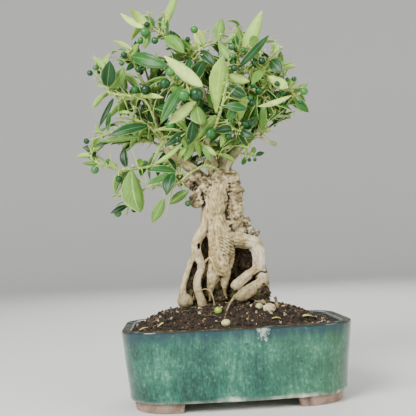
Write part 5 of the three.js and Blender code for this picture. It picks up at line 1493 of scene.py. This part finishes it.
def add_blade(bm, leaf, luck):
    """One leaf: stalked, widest before the middle, arched, folded along the rib, wavy at the margin."""
    base, tip = leaf["base"], leaf["tip"]
    along = tip - base
    length = along.length
    along.normalize()
    up = leaf["facing"] - along * leaf["facing"].dot(along)
    up.normalize()
    side = up.cross(along)
    half = leaf["wide"] / 2
    start = 0.0 if leaf["stalk"] else BARE_FOOT
    ranges = ((0.2, 0.9), (0, 6.3), (-0.35, 0.35), (-0.02, 0.09))
    wave, phase, twist, hook = (luck.uniform(*pair) for pair in ranges)
    blunt = luck.uniform(0.8, 1.05)
    blunt = leaf.get("blunt") or blunt
    tone = luck.random()
    tone = leaf.get("tone") or tone
    first = len(bm.verts)
    bm.from_mesh(blade_mesh)
    bm.verts.ensure_lookup_table()
    layer = bm.verts.layers.float["tone"]
    for v in bm.verts[first:]:
        across = v.co.y * 2
        u = 0.5 - 0.5 * math.cos(math.pi * (v.co.x + 0.5))
        width = 0.07 + 0.93 * max(math.sin(math.pi * min(u, 1) ** blunt), 0) ** 0.8
        width *= 1 - 0.5 * u**14
        place = start + (1 - start) * u
        rise = leaf["arch"] * length * 4 * place * (1 - place) - hook * length * u**3
        rise += leaf["fold"] * half * width * abs(across) ** 1.4
        rise += wave * 0.09 * half * width * abs(across) * math.sin(8 * u + phase + 1.5 * across)
        turned = twist * (u - 0.5)
        reach = half * width * across
        at = base + along * (place * length) + side * reach * math.cos(turned)
        v.co = spot(*(at + up * (rise + reach * math.sin(turned))))
        v[layer] = tone


def stalk_of(leaf):
    along = (leaf["tip"] - leaf["base"]).normalized()
    join = leaf["stalk"] or leaf["base"]
    start = 0.0 if leaf["stalk"] else BARE_FOOT
    end = leaf["base"].lerp(leaf["tip"], start + 0.05)
    up = leaf["facing"] - along * leaf["facing"].dot(along)
    rise = leaf["arch"] * (leaf["tip"] - leaf["base"]).length * 4 * (start + 0.05) * (0.95 - start)
    end += up.normalized() * rise
    middle = join.lerp(end, 0.5) + (end - leaf["base"].lerp(leaf["tip"], 0.05)) * 0.1
    return [join, middle, end], [0.8, 0.55, 0.5]


def add_fruit(bm, fruit, luck):
    """A young citrus fruit on its stalk, with the star of the calyx and the dimple under the style."""
    out = (fruit["at"] - fruit["stalk"]).normalized()
    turn = out.to_track_quat("Z", "Y")
    radius = fruit["radius"]
    layer = bm.verts.layers.float["tone"]
    tone = luck.random()
    shape = Matrix.Translation(spot(*fruit["at"])) @ turn.to_matrix().to_4x4()
    made = bmesh.ops.create_uvsphere(bm, u_segments=12, v_segments=9, radius=radius * MM, matrix=shape)
    made = made["verts"]
    axis = turn @ Vector((0, 0, 1))
    for v in made:
        v[layer] = tone
        off = (v.co - spot(*fruit["at"])) / MM
        height = off.dot(axis) / radius
        if abs(height) > 0.98:
            v.co -= axis * (height * 0.07 * radius * MM)
    cup_middle = spot(*(fruit["at"] - axis * radius * CALYX["at"]))
    low, top, high = (CALYX[key] * radius * MM for key in ("low", "top", "high"))
    made_cup = bmesh.ops.create_cone(
        bm, cap_ends=True, segments=10, radius1=low, radius2=top, depth=high,
        matrix=Matrix.Translation(cup_middle) @ turn.to_matrix().to_4x4(),
    )["verts"]
    for i, v in enumerate(made_cup):
        v[layer] = 0.5
        if i % 4 < 2:
            v.co = cup_middle.lerp(v.co, CALYX["notch"])
    return {f for v in made for f in v.link_faces}, {f for v in made_cup for f in v.link_faces}


def grown_along(path, luck, both_ways, leaf_count, thorn_count, bud_roots):
    """Leaves, thorns and buds on one shoot by a seeded rule, inside the crown. They point away from the front
    unless they may grow both ways."""
    leaves, thorns, buds = [], [], []

    def away_from(t, spin):
        along = (path(min(t + 0.01, 1)) - path(t - 0.01)).normalized()
        return along, Quaternion(along, spin) @ along.orthogonal().normalized()

    for i in range(leaf_count):
        t = luck.uniform(0.3, 0.98)
        base = path(t)
        along, away = away_from(t, i * 2.4 + luck.uniform(0, 1))
        aim = along * luck.uniform(0.3, 0.9) + away * luck.uniform(0.5, 1)
        aim.z += luck.uniform(-0.25, 0.35)
        aim.normalize()
        length = luck.uniform(*SMALL_LEAF["long"])
        if not both_ways and aim.y < -0.1:
            aim.y = -aim.y
        tip = base + aim * length
        held = all(inside_crown(base.lerp(tip, u)) for u in (0.4, 0.7, 1))
        if not held or not DEPTHS["leaf"][0] <= tip.y <= DEPTHS["leaf"][1]:
            continue
        facing = Vector((0, -0.2, 1)) + away * 0.5 + Vector((luck.gauss(0, 0.3), luck.gauss(0, 0.3), 0))
        leaves.append({
            "stalk": None, "base": base, "tip": tip, "facing": facing,
            "wide": length * luck.uniform(*SMALL_LEAF["slim"]), "arch": luck.uniform(*SMALL_LEAF["arch"]),
            "fold": luck.uniform(*SMALL_LEAF["fold"]),
        })
    leaves = [leaf for leaf in leaves if not hides_one(leaf)]
    for i in range(thorn_count):
        t = luck.uniform(0.2, 0.95)
        along, away = away_from(t, luck.uniform(0, 6.3))
        root = path(t)
        tip = root + (away + along * luck.uniform(0.1, 0.6)).normalized() * luck.uniform(*SMALL_THORN)
        if inside_crown(root) and DEPTHS["thorn"][0] < tip.y < DEPTHS["thorn"][1]:
            thorns.append((root, tip))
    for _ in range(bud_roots):
        t = luck.uniform(0.4, 1)
        along, _ = away_from(t, 0)
        root = path(t)
        for _ in range(luck.randint(2, 5)):
            aim = along + Vector((luck.gauss(0, 0.6), luck.gauss(0, 0.6), luck.gauss(0.2, 0.6)))
            end = root + aim.normalized() * luck.uniform(*BUD["stalk"])
            if inside_crown(end):
                buds.append((root, end, luck.uniform(*BUD["radius"])))
    return leaves, thorns, buds


def new_shoot(luck, start, aim, length):
    """A green side shoot, or None where it would leave the crown."""
    way = wander(luck, start, aim, length, 5, 0.16, -0.05)
    near, far = DEPTHS["shoot"]
    if not all(inside_crown(point) for point in way) or not near < way[-1].y < far:
        return None
    return way, [0.8, 0.75, 0.7, 0.65, 0.6, 0.45]


def leaf_surface(tree, shader, body, rib_colour, rib_share, vein_share, depth):
    """Rib, side veins and margin drawn from the leaf's own length and breadth, and oil glands between."""
    blade = add(tree, "UVMap", uv_map="blade")
    part = add(tree, "SeparateXYZ", {"Vector": blade}, out=None)
    off = add(tree, "Math", {0: part.outputs["Y"], 1: 0.5}, operation="SUBTRACT")
    off = add(tree, "Math", {0: off}, operation="ABSOLUTE")
    slanted = add(tree, "Math", {0: off, 1: -0.55, 2: part.outputs["X"]}, operation="MULTIPLY_ADD")
    waves = add(tree, "Math", {0: slanted, 1: 62.0}, operation="MULTIPLY")
    waves = add(tree, "Math", {0: waves}, operation="SINE")
    vein = add(tree, "MapRange", {"Value": waves, "From Min": 0.72, "From Max": 1.0, "To Max": vein_share})
    rib = add(tree, "MapRange", {"Value": off, "From Min": 0.045, "From Max": 0.012, "To Max": rib_share})
    margin = add(tree, "MapRange", {"Value": off, "From Min": 0.44, "From Max": 0.485, "To Max": 0.6})
    lines = add(tree, "Math", {0: rib, 1: vein}, operation="MAXIMUM")
    pale = add(tree, "Math", {0: lines, 1: margin}, operation="MAXIMUM")
    body = add(tree, "Mix", {0: pale, 6: body, 7: rib_colour}, data_type="RGBA", out=2)
    where = add(tree, "TexCoord", out="Object")
    blotch = add(tree, "TexNoise", {"Vector": where, "Scale": 130, "Detail": 3})
    light = {"From Min": 0.3, "From Max": 0.7, "To Min": 0.82, "To Max": 1.16}
    blotch = add(tree, "MapRange", {"Value": blotch, **light})
    body = add(tree, "Mix", {0: 1.0, 6: body, 7: blotch}, data_type="RGBA", blend_type="MULTIPLY", out=2)
    finish(tree, shader, body, lines, (depth, 0.0006))


# The upper side is waxy, so it has a soft gloss. It is dark when old and yellow-green when young.
leaf_top, tree, shader = new_material("leaf_upper_side", Roughness=0.36, IOR=1.4, Specular_IOR_Level=0.4)
body = toned(
    tree, [(0.0, "#0a2c15"), (0.45, "#1c4c22"), (0.72, "#36702c"), (0.88, "#6f9c3c"), (1.0, "#a3cb58")]
)
leaf_surface(tree, shader, body, "#7fa456", 0.5, 0.08, 0.35)
# The underside is paler and nearly matt, and its rib and veins stand out
leaf_under, tree, shader = new_material("leaf_underside", Roughness=0.55, IOR=1.4, Specular_IOR_Level=0.35)
body = toned(tree, [(0.0, "#4f7631"), (0.5, "#6d9840"), (0.8, "#94bd50"), (1.0, "#c9e57b")])
leaf_surface(tree, shader, body, "#c3d988", 0.6, 0.16, -0.4)

# The rind is smooth and glossy. Its oil glands are a third of a millimetre wide, drawn twice as large so
# that they show.
green_fruit, tree, shader = new_material("unripe_fruit_skin", Roughness=0.24, IOR=1.45)
body = toned(tree, [(0.0, "#0f3817"), (0.6, "#1f5a28"), (1.0, "#46853a")])
where = add(tree, "TexCoord", out="Object")
glands = add(tree, "TexVoronoi", {"Vector": where, "Scale": 1400}, out="Distance")
light = {"From Min": 0.05, "From Max": 0.3, "To Min": 0.4, "To Max": 0.0}
light = add(tree, "MapRange", {"Value": glands, **light})
body = add(tree, "Mix", {0: light, 6: body, 7: "#5f9150"}, data_type="RGBA", out=2)
finish(tree, shader, body, glands, (0.3, 0.0004))

# Young bark has a faint sheen and is mottled pale in flecks of 3 mm
shoot_bark = mottled(
    "green_shoot_bark", {"Scale": 380, "Detail": 3, "Roughness": 0.6},
    [(0.35, "#5a7a35"), (0.5, "#8fa84f"), (0.66, "#c3cc82")], Roughness=0.55,
)
# Thorns and petioles are plain pale green. Buds and calyx go from green through cream to a reddish tip.
thorn_skin, tree, shader = new_material("thorn_and_petiole", Roughness=0.45, Base_Color="#adc05f")
bud_skin, tree, shader = new_material("buds_and_calyx", Roughness=0.5)
finish(tree, shader, toned(tree, [(0.0, "#8aa64a"), (0.6, "#c3cf6c"), (0.85, "#d9d79a"), (1.0, "#b98f78")]))
STEM_SKINS = [leaf_top, leaf_under, green_fruit, shoot_bark, thorn_skin, bud_skin]
UNDER_SKIN, FRUIT_SKIN, SHOOT_SKIN, THORN_SKIN, BUD_SKIN = range(1, len(STEM_SKINS))


def make_stem(name, luck, leaves, wood, thorns=(), fruits=(), buds=()):
    """One leafy piece: blades thickened first, then its wood, stalks, thorns, fruits and buds."""
    bm = bmesh.new()
    bm.verts.layers.float.new("tone")
    for leaf in leaves:
        add_blade(bm, leaf, luck)
    holder = linked("blades", bm, *STEM_SKINS)
    thick = holder.modifiers.new("thick", "SOLIDIFY")
    thick.thickness = LEAF_THICK * MM
    thick.offset = 0
    thick.material_offset = UNDER_SKIN
    thick.material_offset_rim = UNDER_SKIN
    applied(holder)
    bm = bmesh.new()
    bm.from_mesh(holder.data)
    bpy.data.objects.remove(holder)
    tone = bm.verts.layers.float["tone"]
    for face in add_tubes(bm, wood, 6):
        face.material_index = SHOOT_SKIN
    stalks = [stalk_of(leaf) for leaf in leaves]
    for root, tip in thorns:
        stalks.append(([root.lerp(tip, u) for u in (0, 0.15, 0.5, 1)], [0.8, 0.7, 0.5, 0.08]))
    for fruit in fruits:
        stalks.append(([fruit["stalk"], fruit["at"]], [0.75, 0.7]))
        skin_faces, cup_faces = add_fruit(bm, fruit, luck)
        for face in skin_faces:
            face.material_index = FRUIT_SKIN
        for face in cup_faces:
            face.material_index = BUD_SKIN
    stalks += [([root, end], [0.35, 0.3]) for root, end, _ in buds]
    for face in add_tubes(bm, stalks, 4):
        face.material_index = THORN_SKIN
    for root, end, radius in buds:
        turn = (end - root).to_track_quat("Z", "Y").to_matrix().to_4x4()
        long = Matrix.Diagonal((radius * MM, radius * MM, 1.5 * radius * MM, 1))
        shape = Matrix.Translation(spot(*end)) @ turn @ long
        value = luck.random()
        for v in bmesh.ops.create_icosphere(bm, subdivisions=1, radius=1, matrix=shape)["verts"]:
            v[tone] = value
            for face in v.link_faces:
                face.material_index = BUD_SKIN
    stem = piece(name, tidied(bm), *STEM_SKINS)
    return stem


SIDE_SHOOTS = {"each": 3, "long": (14, 26)}
STEMS = {name: {**PLAIN_STEM, **spec} for name, spec in STEMS.items()}
grown = {name: kept_on(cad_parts[f"leafy_stem_{name}"], growths(spec)) for name, spec in STEMS.items()}
shown_leaves = [
    item for kept in grown.values() for item in kept if item["kind"] == "leaf" and not item.get("rule")
]
for number, (name, spec) in enumerate(STEMS.items()):
    luck = random.Random(900 + number)
    at = smooth_way([seen(*point) for point in spec["twig"]])
    steps = 5 * (len(spec["twig"]) - 1)
    line = [at(i / steps) for i in range(steps + 1)]
    wood = [(line, [between(spec["thick"], i / steps) for i in range(steps + 1)])]
    kept = [item for item in grown[name] if not (item.get("rule") and hides_one(item))]
    both_ways = "back" in name
    leaves, thorns, buds = grown_along(at, luck, both_ways, leaf_count=9, thorn_count=6, bud_roots=3)
    for _ in range(SIDE_SHOOTS["each"]):
        t = luck.uniform(0.25, 0.9)
        aim = (at(t + 0.02) - at(t - 0.02)).normalized()
        aim += Vector((luck.gauss(0, 0.7), luck.gauss(0 if both_ways else 0.25, 0.7), luck.gauss(0.3, 0.5)))
        shoot = new_shoot(luck, at(t), aim, luck.uniform(*SIDE_SHOOTS["long"]))
        if shoot:
            wood.append(shoot)
            path = smooth_way(shoot[0])
            more = grown_along(path, luck, both_ways, leaf_count=5, thorn_count=2, bud_roots=1)
            leaves, thorns, buds = leaves + more[0], thorns + more[1], buds + more[2]
    thorns += [(item["at"], item["tip"]) for item in kept if item["kind"] == "thorn"]
    leaves = [item for item in kept if item["kind"] == "leaf"] + leaves
    fruits = [item for item in kept if item["kind"] == "fruit"]
    stem = make_stem(f"stem_{name}", luck, leaves, wood, thorns, fruits, buds)
    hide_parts(f"leafy_stem_{name}")

# Short shoots from the limbs themselves, which close the inside of the crown over the bare wood. They are
# too small for nodes of their own: thin green twigs with small leaves and thorns.
LIMB_SHOOTS = {"each": 10, "long": (12, 24)}
SHOOT_LIMBS = ("left_limb", "right_limb", "middle_limb", "inner_right_limb", "back_limb", "front_limb")
for number, name in enumerate(SHOOT_LIMBS):
    luck = random.Random(700 + number)
    at = smooth_way([seen(x, z, y) for x, z, y, _ in WOOD[name]])
    leaves, thorns, buds, wood = [], [], [], []
    for _ in range(LIMB_SHOOTS["each"]):
        aim = Vector((luck.gauss(0, 0.8), luck.gauss(0, 0.8), luck.gauss(0.35, 0.4)))
        shoot = new_shoot(luck, at(luck.uniform(0.16, 0.98)), aim, luck.uniform(*LIMB_SHOOTS["long"]))
        if shoot:
            wood.append(shoot)
            path = smooth_way(shoot[0])
            more = grown_along(path, luck, False, leaf_count=6, thorn_count=2, bud_roots=1)
            leaves, thorns, buds = leaves + more[0], thorns + more[1], buds + more[2]
    make_stem(f"shoots_of_{name}", luck, leaves, wood, thorns, (), buds)

# Loose things on the compost: a dropped lime-green fruit, half of an older one, two pebbles of shell grit, a
# yellowed leaf and the dead stub of a twig. They lie where they fell, sunk into the crumbs by a third.
LOOSE = {
    "fallen_fruit": {
        "at": (-16.4, -38.4), "half": (3.5, 3.5, 3.3), "slot": "fruit", "colours": ("#7d9f32", "#a4c445"),
        "rough": 0.0, "matt": 0.3,
    },
    "fallen_fruit_half": {
        "at": (-11, -55), "half": (4, 3.4, 3.2), "slot": "fruit", "colours": ("#b3ac62", "#dfe0a6"),
        "rough": 0.25, "matt": 0.5,
    },
    "shell_pebble": {
        "at": (31, -33), "half": (6, 5, 4.6), "slot": "shell", "colours": ("#a8986f", "#ded3ad"),
        "rough": 0.8, "matt": 0.7,
    },
    "green_pebble": {
        "at": (22, -30.5), "half": (3.4, 3.2, 3), "slot": "shell", "colours": ("#8f9460", "#c3c68c"),
        "rough": 0.35, "matt": 0.6,
    },
}
LOOSE_SINK = 0.35
RIDGED = 0.5
for name, thing in LOOSE.items():
    skin_paint = mottled(
        f"skin_of_{name}", {"Scale": 420, "Detail": 4}, list(zip((0.36, 0.62), thing["colours"])),
        (0.5, 0.0006), Roughness=thing["matt"],
    )
    (x, y), half = thing["at"], Vector(thing["half"])
    middle = Vector((x, y, soil_height(x, y) + half.z * (1 - LOOSE_SINK)))
    bm = bmesh.new()
    for v in lump(bm, 4, middle, half):
        off = (v.co - spot(*middle)) / MM
        v.co += noise.noise_vector(off * 0.5) * thing["rough"] * MM
        if thing["rough"] > RIDGED:
            v.co -= off.normalized() * abs(noise.noise(off * 0.9)) * 0.8 * MM
    loose = piece(f"loose_{name}", bm, skin_paint)
    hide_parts(name)

# Each dry leaf or sliver runs from a point and a height over the soil to another, and has its breadth
DRY_LEAVES = [
    ((60, -33, 1.2), (75, -21, 1.6), 7), ((-90, -29, 0.8), (-81.5, -27, 1.2), 2.4),
    ((-73.5, -36.5, 0.8), (-66, -33.5, 1.6), 2.6), ((30, -47.5, 0.8), (40, -44.5, 1.8), 3.6),
]
DRY_THICK = 0.5
TWIG_STUB = {"at": (40, -21), "lean": (38.5, -20), "high": 9, "deep": 6, "radius": 1.4}


def on_ground(x, y, lift):
    return Vector((x, y, soil_height(x, y) + lift))


# A dead leaf is dull ochre, with browner patches of 5 mm
yellowed, tree, shader = new_material("yellowed_leaf", Roughness=0.55)
where = add(tree, "TexCoord", out="Object")
patches = add(tree, "TexNoise", {"Vector": where, "Scale": 210, "Detail": 4})
body = add(tree, "ValToRGB", {"Fac": patches}, stops=[(0.36, "#8a6f2c"), (0.5, "#b9a444"), (0.64, "#d8cf6e")])
leaf_surface(tree, shader, body, "#e0d890", 0.75, 0.3, 0.5)
for i, (start, end, wide) in enumerate(DRY_LEAVES):
    sliver = {
        "base": on_ground(*start), "tip": on_ground(*end), "wide": wide, "stalk": None,
        "facing": Vector((0.1, -0.1, 1)), "arch": 0.05, "fold": 0.2,
    }
    bm = bmesh.new()
    bm.verts.layers.float.new("tone")
    add_blade(bm, sliver, random.Random(50 + i))
    made = piece("loose_leaf" if i == 0 else f"loose_sliver_{i}", bm, yellowed)
    thick = made.modifiers.new("thick", "SOLIDIFY")
    thick.thickness = DRY_THICK * MM
    thick.offset = 0
    applied(made)
    if i == 0:
        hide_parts("fallen_leaf")

bm = bmesh.new()
foot, lean, radius = TWIG_STUB["at"], TWIG_STUB["lean"], TWIG_STUB["radius"]
way = smooth_way([
    on_ground(*foot, -TWIG_STUB["deep"]), on_ground(*foot, 1), on_ground(*lean, TWIG_STUB["high"]),
])
add_tubes(bm, [([way(i / 12) for i in range(13)], [radius] * 13)], 12)
for v in bm.verts:
    v.co += noise.noise_vector(v.co * 600) * 0.3 * MM
stub = piece("loose_twig_stub", tidied(bm), dead_root)
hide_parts("twig_stub")

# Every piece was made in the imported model's frame and rides on its one body
low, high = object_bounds()
{"cad": [list(cad_low), list(cad_high)], "made": [list(low), list(high)]}
